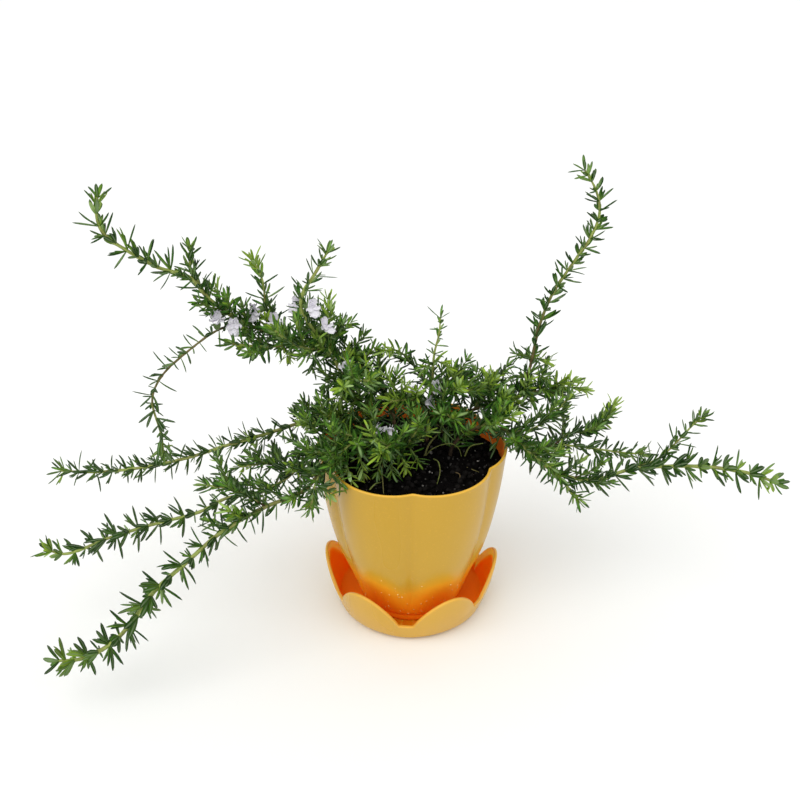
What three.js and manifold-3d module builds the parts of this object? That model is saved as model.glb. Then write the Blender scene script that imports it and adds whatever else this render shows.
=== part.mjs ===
import * as THREE from "three";
import { mergeVertices } from "three/addons/utils/BufferGeometryUtils.js";
import Module from "manifold-3d";

const wasm = await Module();
wasm.setup();

// Potted rosemary: six-lobed plastic pot standing in a six-petalled saucer.
// Millimetres, +Z up, origin at the centre of the saucer's underside.

// Driving dimensions
const LOBES = 6;
const POT_HEIGHT = 138;
const POT_RIM_RADIUS = 70;
const POT_FOOT_RADIUS = 37.5;
const POT_WALL = 2;
const POT_FLOOR = 3;
const FOOT_RING_WIDTH = 5;
const FOOT_RING_DEPTH = 3;
const LOBE_DEPTH = 0.08;
const LOBE_START = 8;
const LOBE_FULL = 34;
const DRAIN_HOLES = 5;
const DRAIN_RADIUS = 3.5;
const DRAIN_CIRCLE = 20;

const SAUCER_FLOOR_RADIUS = 56;
const SAUCER_TOP_RADIUS = 67.5;
const SAUCER_PETAL_TOP = 42;
const SAUCER_VALLEY_TOP = 17;
const SAUCER_WALL = 2.4;
const SAUCER_FLOOR = 2.5;
const SAUCER_TURN = THREE.MathUtils.degToRad(-4);
const VALLEY_HALF_WIDTH = 0.09;
const PETAL_FULLNESS = 0.8;

const SOIL_TOP = 125;
const SOIL_CROWN = 2.5;
const FIT_GAP = 0.3;
const SOIL_SIDE_GAP = 1.1;

const RADIAL_STEPS = 48;
const STEM_SIDES = 4;
const STEM_STEP = 18;
const LEAF_SPACING = 19;
const LEAF_LENGTH = 16;
const LEAF_WIDTH = 2.8;
const LEAF_THICKNESS = 1.2;
const LEAF_CLEARANCE = 0.5;
const SPRIG_LENGTH = 28;
const SPRIG_RADIUS = 1.1;
const FLOWER_SIZE = 8;

const material = (color, roughness) => new THREE.MeshStandardMaterial({ color, roughness, metalness: 0 });
const potMaterial = material(0xd9a63e, 0.28);
const saucerMaterial = material(0xe0a94a, 0.3);
const soilMaterial = material(0x17120f, 0.95);
const stemMaterial = material(0x4a7a34, 0.6);
const flowerMaterial = material(0xe2dcee, 0.55);

const UP = new THREE.Vector3(0, 0, 1);

// Repeatable variation between 0 and 1 for a numbered leaf or shoot
function vary(...seeds) {
  const mixed = seeds.reduce((sum, seed, index) => sum + seed * (12.9898 + 65.233 * index), 0);
  const wave = Math.sin(mixed) * 43758.5453;
  return wave - Math.floor(wave);
}

// Closed solids in and out of boolean form
function solidOf(geometry) {
  const bare = geometry.clone();
  bare.deleteAttribute("normal");
  bare.deleteAttribute("uv");
  const merged = mergeVertices(bare, 1e-4);
  const index = merged.index.array;
  const faces = [];
  for (let i = 0; i < index.length; i += 3) {
    const [a, b, c] = [index[i], index[i + 1], index[i + 2]];
    if (a !== b && b !== c && c !== a) faces.push(a, b, c);
  }
  return new wasm.Manifold(new wasm.Mesh({
    numProp: 3,
    vertProperties: Float32Array.from(merged.attributes.position.array),
    triVerts: Uint32Array.from(faces),
  }));
}

function geometryOf(solid) {
  const mesh = solid.getMesh();
  const geometry = new THREE.BufferGeometry();
  geometry.setAttribute("position", new THREE.BufferAttribute(mesh.vertProperties, 3));
  geometry.setIndex(new THREE.BufferAttribute(mesh.triVerts, 1));
  geometry.computeVertexNormals();
  return geometry;
}

const joined = (solids) => solids.reduce((whole, solid) => whole.add(solid));

// A turned profile whose points are then moved by shape(angle, radius, height)
function turned(profile, shape) {
  const points = profile.map(([radius, height]) => new THREE.Vector2(radius, height));
  const geometry = new THREE.LatheGeometry(points, RADIAL_STEPS);
  geometry.rotateX(Math.PI / 2);
  const position = geometry.attributes.position;
  for (let i = 0; i < position.count; i += 1) {
    const [x, y, z] = [position.getX(i), position.getY(i), position.getZ(i)];
    const angle = Math.atan2(x, -y);
    const [radius, height] = shape(angle, Math.hypot(x, y), z);
    position.setXYZ(i, radius * Math.sin(angle), -radius * Math.cos(angle), height);
  }
  return geometry;
}

// Pot wall: radius at a height, with six lobes that meet in upright creases
const POT_BOTTOM = SAUCER_FLOOR + FIT_GAP;
const POT_BELLY = [[46.5, 26], [57.5, 56], [65.5, 96]];
const potSide = [[POT_FOOT_RADIUS, POT_BOTTOM], ...POT_BELLY, [POT_RIM_RADIUS, POT_HEIGHT]];
const potCurve = new THREE.SplineCurve(potSide.map(([x, y]) => new THREE.Vector2(x, y)));

const POT_UNDERSIDE = POT_BOTTOM + FOOT_RING_DEPTH;
const POT_FLOOR_TOP = POT_UNDERSIDE + POT_FLOOR;
const potRings = potCurve.getPoints(7).map((point) => [point.x, point.y]);
const innerRings = potRings
  .map(([radius, height]) => [radius - POT_WALL, height])
  .filter(([, height]) => height > POT_FLOOR_TOP + 4);
const floorRadius = innerRings[0][0] - 7;

function radiusOn(rings, height) {
  const next = rings.findIndex((ring) => ring[1] >= height);
  if (next < 0) return rings[rings.length - 1][0];
  if (next === 0) return rings[0][0];
  const [low, high] = [rings[next - 1], rings[next]];
  return THREE.MathUtils.mapLinear(height, low[1], high[1], low[0], high[0]);
}

const potRadius = (height) => radiusOn(potRings, height);

function lobed(angle, radius, height) {
  const arc = Math.sqrt(Math.abs(Math.sin((LOBES / 2) * angle)));
  const strength = LOBE_DEPTH * THREE.MathUtils.smoothstep(height, LOBE_START, LOBE_FULL);
  return radius * (1 - strength * (1 - arc));
}

const lobedShape = (angle, radius, height) => [lobed(angle, radius, height), height];

function makePot() {
  const ringInside = POT_FOOT_RADIUS - FOOT_RING_WIDTH;
  const profile = [
    [0, POT_UNDERSIDE],
    [ringInside, POT_UNDERSIDE],
    [ringInside + 1, POT_BOTTOM],
    ...potRings,
    ...[...innerRings].reverse(),
    [floorRadius, POT_FLOOR_TOP],
    [0, POT_FLOOR_TOP],
  ];
  const drill = new THREE.CylinderGeometry(DRAIN_RADIUS, DRAIN_RADIUS, 3 * POT_FLOOR, 8);
  drill.rotateX(Math.PI / 2);
  let pot = solidOf(turned(profile, lobedShape));
  drill.translate(0, DRAIN_CIRCLE, POT_UNDERSIDE + POT_FLOOR / 2);
  for (let i = 0; i < DRAIN_HOLES; i += 1) {
    const hole = drill.clone();
    hole.rotateZ((-2 * Math.PI * i) / DRAIN_HOLES);
    pot = pot.subtract(solidOf(hole));
  }
  return geometryOf(pot);
}

// Saucer: a low bowl whose wall rises into six rounded petals
const SAUCER_SPREAD = SAUCER_TOP_RADIUS - SAUCER_FLOOR_RADIUS;
const flare = (height) => SAUCER_SPREAD * (Math.max(height, 0) / SAUCER_PETAL_TOP) ** 0.8;

function petalTop(angle) {
  const turn = THREE.MathUtils.euclideanModulo((angle - SAUCER_TURN) * LOBES / (2 * Math.PI), 1);
  const inPetal = 0.5 - Math.abs(turn - 0.5) - VALLEY_HALF_WIDTH;
  const rise = THREE.MathUtils.clamp(inPetal / (0.5 - VALLEY_HALF_WIDTH), 0, 1);
  const share = Math.sin((Math.PI / 2) * rise) ** PETAL_FULLNESS;
  return SAUCER_VALLEY_TOP + (SAUCER_PETAL_TOP - SAUCER_VALLEY_TOP) * share;
}

function petalled(angle, radius, height) {
  if (height <= SAUCER_FLOOR) return [radius, height];
  const share = (height - SAUCER_FLOOR) / (SAUCER_PETAL_TOP - SAUCER_FLOOR);
  const raised = SAUCER_FLOOR + share * (petalTop(angle) - SAUCER_FLOOR);
  return [radius - flare(height) + flare(raised), raised];
}

function makeSaucer() {
  const heights = [10, 20, 31, SAUCER_PETAL_TOP - 0.8];
  const outer = heights.map((height) => [SAUCER_FLOOR_RADIUS + flare(height), height]);
  const inner = [...outer].reverse().map(([radius, height]) => [radius - SAUCER_WALL, height]);
  const topRadius = SAUCER_FLOOR_RADIUS - SAUCER_WALL / 2 + flare(SAUCER_PETAL_TOP);
  const profile = [
    [0, 0],
    [SAUCER_FLOOR_RADIUS - 3, 0],
    [SAUCER_FLOOR_RADIUS, SAUCER_FLOOR],
    ...outer,
    [topRadius, SAUCER_PETAL_TOP],
    ...inner,
    [SAUCER_FLOOR_RADIUS - SAUCER_WALL - 2, SAUCER_FLOOR + 0.01],
    [0, SAUCER_FLOOR],
  ];
  return turned(profile, petalled);
}

// Soil fills the pot, a fit gap inside its wall, with a low crown
function makeSoil(sockets) {
  const floor = POT_FLOOR_TOP + FIT_GAP;
  const wall = innerRings
    .filter(([, height]) => height < SOIL_TOP - 2)
    .map(([radius, height]) => [radius - SOIL_SIDE_GAP, height]);
  const profile = [
    [0, floor],
    [floorRadius - SOIL_SIDE_GAP, floor],
    ...wall,
    [radiusOn(innerRings, SOIL_TOP) - SOIL_SIDE_GAP, SOIL_TOP],
    [POT_RIM_RADIUS / 2, SOIL_TOP + SOIL_CROWN * 0.7],
    [0, SOIL_TOP + SOIL_CROWN],
  ];
  const soil = solidOf(turned(profile, lobedShape));
  return geometryOf(sockets.reduce((rest, socket) => rest.subtract(socket), soil));
}

// Rooted stems. Each branch is [start radius, end radius, sprigs it bears, share of its length
// that bears them, route points]; the first branch of a stem rises from the soil and carries the others.
const BARE_SHARE = 0.08;
const SPRIG_FROM = 0.12;

const stems = {
  stem_upper_left: [
    [2.6, 1.0, 7, 0.5, [[-10, 12, 113], [-12, 16, 140], [-20, 25, 168], [-38, 30, 187], [-60, 30, 200],
      [-97, 20, 217], [-119, 10, 232], [-138, 0, 254], [-148, 0, 268], [-167, -5, 277], [-185, -10, 291],
      [-197, -10, 301], [-200, -10, 312], [-199, -5, 324]]],
    [1.3, 0.9, 0, 0, [[-138, 0, 254], [-148, 4, 274], [-147, 5, 286]]],
    [1.3, 0.9, 0, 0, [[-97, 20, 217], [-103, 24, 239], [-104, 25, 256], [-109, 25, 270]]],
    [1.3, 0.9, 0, 0, [[-119, 10, 232], [-134, -2, 230], [-150, -14, 222], [-169, -25, 207], [-176, -30, 192],
      [-172, -35, 168], [-172, -35, 153]]],
    [1.3, 1.0, 1, 0.6, [[-79, 26, 208], [-100, 2, 216], [-122, -14, 226]]],
    [1.3, 1.0, 1, 0.6, [[-60, 30, 200], [-68, 52, 214], [-84, 66, 222]]],
  ],
  stem_inner_left: [
    [2.2, 1.0, 3, 0.42, [[-24, 20, 113], [-28, 20, 140], [-34, 14, 160], [-47, 10, 184], [-59, 9, 210],
      [-70, 10, 227], [-77, 12, 241], [-75, 14, 252], [-68, 17, 262], [-58, 21, 278]]],
    [1.3, 0.9, 1, 0.6, [[-47, 10, 184], [-40, -10, 196], [-28, -22, 202]]],
    [1.3, 0.9, 1, 0.6, [[-59, 9, 210], [-80, -8, 222], [-92, -18, 238]]],
  ],
  stem_mid_left: [
    [2.2, 0.9, 4, 0.3, [[-20, 4, 113], [-24, 6, 136], [-42, 12, 150], [-67, 19, 150], [-82, 18, 146],
      [-108, 15, 138], [-137, 10, 131], [-168, 8, 121], [-205, 8, 112], [-239, 10, 107], [-266, 10, 108]]],
    [1.2, 0.9, 0, 0, [[-67, 19, 150], [-74, 34, 140], [-80, 48, 128]]],
    [1.2, 0.9, 2, 0.7, [[-42, 12, 150], [-52, 0, 161], [-60, -10, 168]]],
  ],
  stem_lower_left: [
    [2.1, 0.9, 3, 0.36, [[-26, -6, 113], [-30, -8, 136], [-48, -14, 150], [-66, -20, 149], [-84, -24, 130],
      [-105, -28, 116], [-133, -30, 111], [-154, -32, 100], [-186, -32, 90], [-222, -32, 77], [-258, -32, 62],
      [-270, -32, 66]]],
    [1.2, 0.9, 1, 0.6, [[-84, -24, 130], [-106, -8, 126], [-128, 0, 118]]],
    [1.2, 0.9, 1, 0.7, [[-48, -14, 150], [-62, -10, 160], [-76, -12, 163]]],
  ],
  stem_front_left: [
    [2.1, 0.9, 3, 0.42, [[-22, -18, 113], [-26, -22, 136], [-42, -32, 150], [-59, -42, 147], [-74, -50, 132],
      [-100, -60, 125], [-128, -74, 115], [-152, -88, 99], [-172, -98, 84], [-188, -108, 65],
      [-200, -115, 54], [-222, -118, 42], [-238, -118, 40]]],
    [1.2, 0.9, 1, 0.6, [[-100, -60, 125], [-122, -56, 136], [-140, -56, 140]]],
    [1.2, 0.9, 1, 0.7, [[-42, -32, 150], [-54, -42, 158], [-66, -46, 160]]],
    [1.2, 0.9, 0, 0, [[-59, -42, 147], [-66, -56, 141], [-69, -66, 128]]],
  ],
  stem_center: [
    [2.2, 0.9, 2, 0.45, [[12, 18, 113], [12, 20, 140], [15, 22, 170], [16, 22, 200], [19, 20, 217],
      [20, 20, 230]]],
    [1.3, 0.9, 1, 0.6, [[14, 21, 160], [-2, 6, 172], [-16, -8, 178]]],
    [1.3, 0.9, 1, 0.6, [[13, 20, 150], [22, 0, 164], [30, -18, 170]]],
    [1.3, 0.9, 1, 0.6, [[15, 22, 172], [28, 32, 172], [40, 42, 170]]],
    [1.2, 0.9, 1, 0.7, [[15, 22, 168], [30, 14, 176], [46, 8, 178]]],
    [1.3, 0.9, 1, 0.6, [[15, 22, 176], [4, 40, 188], [-8, 54, 194]]],
  ],
  stem_front_center: [
    [1.8, 0.9, 1, 0.6, [[-6, -6, 113], [-8, -10, 136], [-18, -18, 150], [-34, -26, 158], [-50, -30, 166]]],
    [1.2, 0.9, 1, 0.6, [[-18, -18, 150], [-16, -34, 158], [-22, -48, 160]]],
    [1.2, 0.9, 1, 0.6, [[-8, -10, 140], [2, -14, 156], [4, -18, 172]]],
    [1.2, 0.9, 1, 0.7, [[-34, -26, 158], [-44, -38, 160], [-52, -46, 156]]],
  ],
  stem_tall_right: [
    [2.3, 0.9, 2, 0.24, [[24, 14, 113], [28, 18, 138], [46, 26, 152], [66, 31, 155], [80, 31, 160],
      [86, 30, 180], [92, 30, 221], [99, 30, 244], [112, 30, 268], [122, 30, 286], [126, 30, 303],
      [122, 30, 318], [113, 30, 332]]],
    [1.3, 0.9, 1, 0.6, [[46, 26, 152], [55, 40, 160], [64, 54, 162]]],
    [1.3, 0.9, 1, 0.6, [[80, 31, 160], [98, 42, 160], [112, 50, 153]]],
    [1.3, 0.9, 1, 0.6, [[60, 30, 154], [62, 14, 168], [66, 4, 176]]],
  ],
  stem_long_right: [
    [2.4, 0.9, 5, 0.42, [[28, 0, 113], [31, 1, 138], [50, 3, 151], [72, 1, 147], [90, -5, 130],
      [106, -10, 120], [133, -10, 113], [161, -5, 119], [192, -5, 122], [222, -10, 124], [250, -15, 121],
      [264, -19, 117]]],
    [1.3, 0.9, 0, 0, [[161, -5, 119], [183, 0, 126], [196, 5, 137], [207, 9, 149], [213, 10, 155]]],
    [1.3, 0.9, 0, 0, [[90, -5, 130], [106, 8, 132], [122, 10, 130], [146, 14, 124], [164, 16, 120],
      [176, 17, 119]]],
    [1.3, 0.9, 1, 0.6, [[72, 1, 147], [88, 2, 150], [104, 10, 158], [115, 13, 171]]],
    [1.3, 0.9, 1, 0.6, [[106, 8, 132], [120, 22, 134], [134, 24, 136], [144, 26, 141], [149, 27, 147]]],
    [1.2, 0.9, 0, 0, [[106, -10, 120], [114, -22, 113], [120, -30, 110]]],
    [1.2, 0.9, 1, 0.6, [[72, 1, 147], [82, -18, 144], [98, -32, 138]]],
    [1.2, 0.9, 1, 0.7, [[50, 3, 151], [60, -6, 162], [70, -10, 168]]],
  ],
};

// Flowers: [stem, branch, share of its length, way the flower faces]
const flowers = [
  ["stem_upper_left", 3, 0.15, [-0.2, -0.7, 0.7]],
  ["stem_upper_left", 0, 0.6, [0.2, -0.9, -0.2]],
  ["stem_upper_left", 2, 0.38, [-0.6, -0.7, 0.2]],
  ["stem_upper_left", 2, 0.14, [0.2, -0.9, 0.4]],
  ["stem_upper_left", 5, 0.9, [-0.5, -0.8, 0.3]],
  ["stem_inner_left", 0, 0.77, [0.6, -0.8, -0.2]],
  ["stem_inner_left", 0, 0.66, [0.9, -0.5, 0.2]],
  ["stem_inner_left", 1, 0.4, [0.1, -0.5, 0.8]],
  ["stem_center", 1, 0.65, [0.1, -0.4, 0.9]],
  ["stem_center", 1, 0.3, [0.3, -0.8, 0.5]],
  ["stem_center", 0, 0.54, [0.2, -0.9, 0.4]],
  ["stem_front_center", 0, 0.68, [-0.1, -0.2, 1]],
  ["stem_front_center", 1, 0.35, [0.2, 0.1, 1]],
  ["stem_tall_right", 3, 0.25, [-0.1, -0.8, 0.5]],
];

// A square stem along a curve, thinning from one end to the other
function tube(curve, startRadius, endRadius) {
  const steps = stepsOf(curve);
  const section = new THREE.Shape();
  for (let i = 0; i < STEM_SIDES; i += 1) {
    const angle = (2 * Math.PI * (i + 0.5)) / STEM_SIDES;
    const [x, y] = [Math.cos(angle), Math.sin(angle)];
    if (i === 0) section.moveTo(x, y);
    else section.lineTo(x, y);
  }
  section.closePath();
  const geometry = new THREE.ExtrudeGeometry(section, { steps, extrudePath: curve });
  const centres = curve.getSpacedPoints(steps);
  const position = geometry.attributes.position;
  const vertex = new THREE.Vector3();
  for (let i = 0; i < position.count; i += 1) {
    vertex.fromBufferAttribute(position, i);
    const ring = centres.reduce((best, centre, k) => (
      vertex.distanceToSquared(centre) < vertex.distanceToSquared(centres[best]) ? k : best), 0);
    const radius = THREE.MathUtils.lerp(startRadius, endRadius, ring / steps);
    vertex.sub(centres[ring]).multiplyScalar(radius).add(centres[ring]);
    position.setXYZ(i, vertex.x, vertex.y, vertex.z);
  }
  return geometry;
}

// A narrow leaf: a three-sided spindle, ridged above and widest a third of the way out
function leaf(base, direction, side, length, root) {
  const outline = [[0, 0], [1, 0.35], [0, 1]].map(([x, y]) => new THREE.Vector2(x, y));
  const geometry = new THREE.LatheGeometry(outline, 3);
  geometry.scale(LEAF_WIDTH / Math.sqrt(3), length + root, LEAF_THICKNESS / 1.5);
  geometry.translate(0, -root, 0);
  const ridge = new THREE.Vector3().crossVectors(side, direction).normalize();
  const across = new THREE.Vector3().crossVectors(direction, ridge).normalize();
  geometry.applyMatrix4(new THREE.Matrix4().makeBasis(across, direction, ridge).setPosition(base));
  return geometry;
}

// Shortest distance between two straight segments
function segmentGap(a, b) {
  let best = Infinity;
  const point = new THREE.Vector3();
  for (const [one, two] of [[a, b], [b, a]]) {
    for (let i = 0; i <= 8; i += 1) {
      one.at(i / 8, point);
      best = Math.min(best, two.closestPointToPoint(point, true, new THREE.Vector3()).distanceTo(point));
    }
  }
  return best;
}

// Everything that leaves must stay clear of, as thick segments of a stem
const taken = [];

function isClear(segment, radius, owner) {
  return taken.every((other) => {
    if (other.owner === owner) return true;
    const reach = radius + other.radius + LEAF_CLEARANCE;
    const apart = segment.getCenter(new THREE.Vector3()).distanceTo(other.centre);
    if (apart > other.half + LEAF_LENGTH + reach) return true;
    return segmentGap(segment, other.segment) > reach;
  });
}

function take(start, end, radius, owner) {
  const segment = new THREE.Line3(start.clone(), end.clone());
  taken.push({
    segment,
    radius,
    owner,
    centre: segment.getCenter(new THREE.Vector3()),
    half: segment.distance() / 2,
  });
}

function runsOf({ rings, startRadius, endRadius }) {
  return rings.slice(1).map((end, i) => ({
    start: rings[i],
    end,
    radius: THREE.MathUtils.lerp(startRadius, endRadius, i / (rings.length - 1)),
  }));
}

function takeBranch(branch, owner) {
  runsOf(branch).forEach(({ start, end, radius }) => take(start, end, radius, owner));
}

// A sprig keeps clear of the pot and of every other stem
const branchIsClear = (branch, owner) => runsOf(branch).every(({ start, end, radius }) => {
  const segment = new THREE.Line3(start, end);
  return clearsPot(segment) && isClear(segment, radius, owner);
});

// The pot, soil and the surface that the saucer stands on, as a leaf or sprig meets them
function clearsPot(segment) {
  const point = new THREE.Vector3();
  for (let i = 0; i <= 6; i += 1) {
    segment.at(i / 6, point);
    const radius = Math.hypot(point.x, point.y);
    const wallRadius = potRadius(point.z) * (1 - LOBE_DEPTH / 2);
    const nearRim = point.z < POT_HEIGHT + 2 && Math.abs(radius - wallRadius) < 6;
    const inSoil = point.z < SOIL_TOP + SOIL_CROWN + 2 && radius < potRadius(point.z);
    if (nearRim || inSoil || point.z < 3) return false;
  }
  return true;
}

const stepsOf = (curve) => Math.max(2, Math.round(curve.getLength() / STEM_STEP));

// The nearest point to a place on any run of the branches given
function nearestOn(branches, place) {
  let nearest = null;
  for (const { rings } of branches) {
    for (let i = 1; i < rings.length; i += 1) {
      const run = new THREE.Line3(rings[i - 1], rings[i]);
      const point = run.closestPointToPoint(place, true, new THREE.Vector3());
      if (!nearest || point.distanceTo(place) < nearest.distanceTo(place)) nearest = point;
    }
  }
  return nearest;
}

function makeBranch(startRadius, endRadius, sprigs, bearing, route) {
  const curve = new THREE.CatmullRomCurve3(route);
  const steps = stepsOf(curve);
  const rings = curve.getSpacedPoints(steps);
  const frames = curve.computeFrenetFrames(steps, false);
  return { startRadius, endRadius, sprigs, bearing, curve, rings, frames };
}

// A stem's drawn branches; each side branch starts on the branch that carries it
function drawnBranches(name) {
  const branches = [];
  for (const [startRadius, endRadius, sprigs, bearing, list] of stems[name]) {
    const route = list.map(([x, y, z]) => new THREE.Vector3(x, y, z));
    if (branches.length) route[0] = nearestOn(branches, route[0]);
    branches.push(makeBranch(startRadius, endRadius, sprigs, bearing, route));
  }
  return branches;
}

// The point at a share of a branch's length, on the straight run between two rings
function onRun(rings, share) {
  const place = THREE.MathUtils.clamp(share, 0, 0.999) * (rings.length - 1);
  const ring = Math.floor(place);
  return rings[ring].clone().lerp(rings[ring + 1], place - ring);
}

// The level direction square to a tangent, turned about it
function outwardFrom(tangent, turn) {
  const reference = Math.abs(tangent.z) > 0.95 ? new THREE.Vector3(0, 1, 0) : UP;
  return new THREE.Vector3().crossVectors(tangent, reference).normalize().applyAxisAngle(tangent, turn);
}

// Short side shoots, set round a branch by the golden angle where there is room
function growSprigs(name, branches) {
  const drawn = [...branches];
  drawn.forEach(({ curve, rings, sprigs, bearing }, number) => {
    for (let i = 0; i < sprigs; i += 1) {
      const share = SPRIG_FROM + ((bearing - SPRIG_FROM) * (i + 0.5)) / sprigs;
      const base = onRun(rings, share);
      const tangent = curve.getTangentAt(share);
      const outward = outwardFrom(tangent, i * 2.4 + number);
      const heading = outward.addScaledVector(tangent, 0.7).addScaledVector(UP, 0.5);
      heading.setZ(Math.max(heading.z, 0)).normalize();
      const length = SPRIG_LENGTH * (0.8 + 0.5 * vary(i, number, 7));
      const route = [[0, 0], [0.35, 0], [0.7, 0.08], [1, 0.25]].map(([along, lift]) => (
        base.clone().addScaledVector(heading, length * along).addScaledVector(UP, length * lift)));
      const sprig = makeBranch(SPRIG_RADIUS, SPRIG_RADIUS * 0.8, 0, 0, route);
      if (branchIsClear(sprig, name)) {
        takeBranch(sprig, name);
        branches.push(sprig);
      }
    }
  });
}

// Leaves in opposite pairs, each pair a quarter turn from the last, one on each flat of the square stem
function leavesOf(name, branch, branchNumber) {
  const { curve, rings, frames, startRadius, endRadius } = branch;
  const count = Math.floor((curve.getLength() * (1 - BARE_SHARE)) / LEAF_SPACING);
  const leaves = [];
  for (let i = 0; i <= count; i += 1) {
    const share = BARE_SHARE + ((1 - BARE_SHARE) * (i + 0.3)) / (count + 0.3);
    const base = onRun(rings, share);
    const ring = Math.floor(share * (rings.length - 1));
    const radius = THREE.MathUtils.lerp(startRadius, endRadius, share);
    for (const turn of [1, -1]) {
      const outward = (i % 2 ? frames.normals : frames.binormals)[ring].clone().multiplyScalar(turn);
      const side = new THREE.Vector3().crossVectors(frames.tangents[ring], outward);
      const lean = 0.4 + 0.5 * vary(i, turn, branchNumber);
      const direction = outward.addScaledVector(frames.tangents[ring], lean).normalize();
      const size = LEAF_LENGTH * (0.85 + 0.3 * vary(i, turn + 1, branchNumber)) * (1 - 0.35 * share * share);
      const tip = base.clone().addScaledVector(direction, size);
      const start = base.clone().addScaledVector(direction, radius);
      const segment = new THREE.Line3(start, tip);
      if (!clearsPot(segment) || !isClear(segment, LEAF_WIDTH / 2, name)) continue;
      take(start, tip, LEAF_WIDTH / 2, name);
      leaves.push(solidOf(leaf(base, direction, side, size, 0.5 * radius)));
    }
  }
  return leaves;
}

function makeStem(name, branches) {
  const parts = branches.flatMap((branch, number) => [
    solidOf(tube(branch.curve, branch.startRadius, branch.endRadius)),
    ...leavesOf(name, branch, number),
  ]);
  return geometryOf(joined(parts));
}

// The socket that a stem's buried end sits in, open at the top of the soil
function socketOf([first]) {
  const radius = first.startRadius + 2 * FIT_GAP;
  const start = first.curve.getPoint(0);
  const above = first.curve.getSpacedPoints(80).find((point) => point.z > SOIL_TOP + SOIL_CROWN + 2);
  const path = new THREE.LineCurve3(start.clone().setZ(start.z - FIT_GAP), above);
  const section = new THREE.Shape().absarc(0, 0, radius, 0, 2 * Math.PI);
  return solidOf(new THREE.ExtrudeGeometry(section, { steps: 1, curveSegments: 3, extrudePath: path }));
}

// A small two-lipped flower on its calyx: a narrow cone that opens into three petals
function makeFlower() {
  const calyx = new THREE.ConeGeometry(FLOWER_SIZE * 0.2, FLOWER_SIZE * 0.75, 5);
  calyx.rotateX(-Math.PI / 2);
  calyx.translate(0, 0, FLOWER_SIZE * 0.375);
  const parts = [solidOf(calyx)];
  for (const [angle, length] of [[0, 0.62], [2.1, 0.5], [-2.1, 0.5]]) {
    const petal = new THREE.OctahedronGeometry(1, 0);
    petal.scale(FLOWER_SIZE * 0.24, FLOWER_SIZE * length * 0.55, FLOWER_SIZE * 0.1);
    petal.translate(0, FLOWER_SIZE * length * 0.45, FLOWER_SIZE * 0.65);
    petal.rotateZ(angle);
    parts.push(solidOf(petal));
  }
  return geometryOf(joined(parts));
}

// Where a flower's calyx meets its stem, and the direction in which it stands
function seatOf([stem, branchNumber, share, facing], plants) {
  const { branches } = plants.find(({ name }) => name === stem);
  const { curve, rings, startRadius, endRadius } = branches[branchNumber];
  const tangent = curve.getTangentAt(share);
  const axis = new THREE.Vector3(...facing).projectOnPlane(tangent).normalize();
  const radius = THREE.MathUtils.lerp(startRadius, endRadius, share);
  return { axis, seat: onRun(rings, share).addScaledVector(axis, radius + FIT_GAP) };
}

const part = new THREE.Group();

function addNode(name, geometry, look) {
  const mesh = new THREE.Mesh(geometry, look.clone());
  mesh.name = name;
  part.add(mesh);
  return mesh;
}

const plants = Object.keys(stems).map((name) => ({ name, branches: drawnBranches(name) }));
plants.forEach(({ name, branches }) => branches.forEach((branch) => takeBranch(branch, name)));
const blooms = flowers.map((flower, number) => ({ name: `flower_${number + 1}`, ...seatOf(flower, plants) }));
blooms.forEach(({ name, seat, axis }) => {
  const middle = seat.clone().addScaledVector(axis, FLOWER_SIZE * 0.4);
  take(middle, seat.clone().addScaledVector(axis, FLOWER_SIZE * 0.8), FLOWER_SIZE * 0.45, name);
});
plants.forEach(({ name, branches }) => growSprigs(name, branches));

addNode("saucer", makeSaucer(), saucerMaterial);
addNode("pot", makePot(), potMaterial);
addNode("soil", makeSoil(plants.map(({ branches }) => socketOf(branches))), soilMaterial);
plants.forEach(({ name, branches }) => addNode(name, makeStem(name, branches), stemMaterial));
blooms.forEach(({ name, seat, axis }) => {
  const flower = addNode(name, makeFlower(), flowerMaterial);
  flower.position.copy(seat);
  flower.quaternion.setFromUnitVectors(UP, axis);
});

export default part;
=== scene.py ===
import math

import bpy
import numpy as np
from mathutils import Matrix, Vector


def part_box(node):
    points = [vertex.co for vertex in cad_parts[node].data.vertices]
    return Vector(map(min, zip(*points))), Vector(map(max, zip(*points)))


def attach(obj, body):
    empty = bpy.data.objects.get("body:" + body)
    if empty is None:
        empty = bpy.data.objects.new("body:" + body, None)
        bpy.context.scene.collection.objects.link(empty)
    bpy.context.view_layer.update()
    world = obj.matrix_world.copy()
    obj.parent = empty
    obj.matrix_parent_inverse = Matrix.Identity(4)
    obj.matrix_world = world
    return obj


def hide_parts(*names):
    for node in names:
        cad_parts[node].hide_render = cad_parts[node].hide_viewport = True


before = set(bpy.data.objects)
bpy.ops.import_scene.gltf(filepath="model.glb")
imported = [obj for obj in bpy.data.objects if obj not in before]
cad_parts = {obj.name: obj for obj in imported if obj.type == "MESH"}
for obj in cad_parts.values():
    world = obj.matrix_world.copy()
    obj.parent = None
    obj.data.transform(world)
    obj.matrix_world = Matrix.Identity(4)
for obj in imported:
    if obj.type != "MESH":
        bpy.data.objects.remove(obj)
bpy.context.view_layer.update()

MM = 0.001
UP = np.array([0.0, 0.0, 1.0])
rng = np.random.default_rng(11)

# ---- sizes in metres
# The pot's box and the soil's top come from the frame; the rest follows the CAD closely

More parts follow.
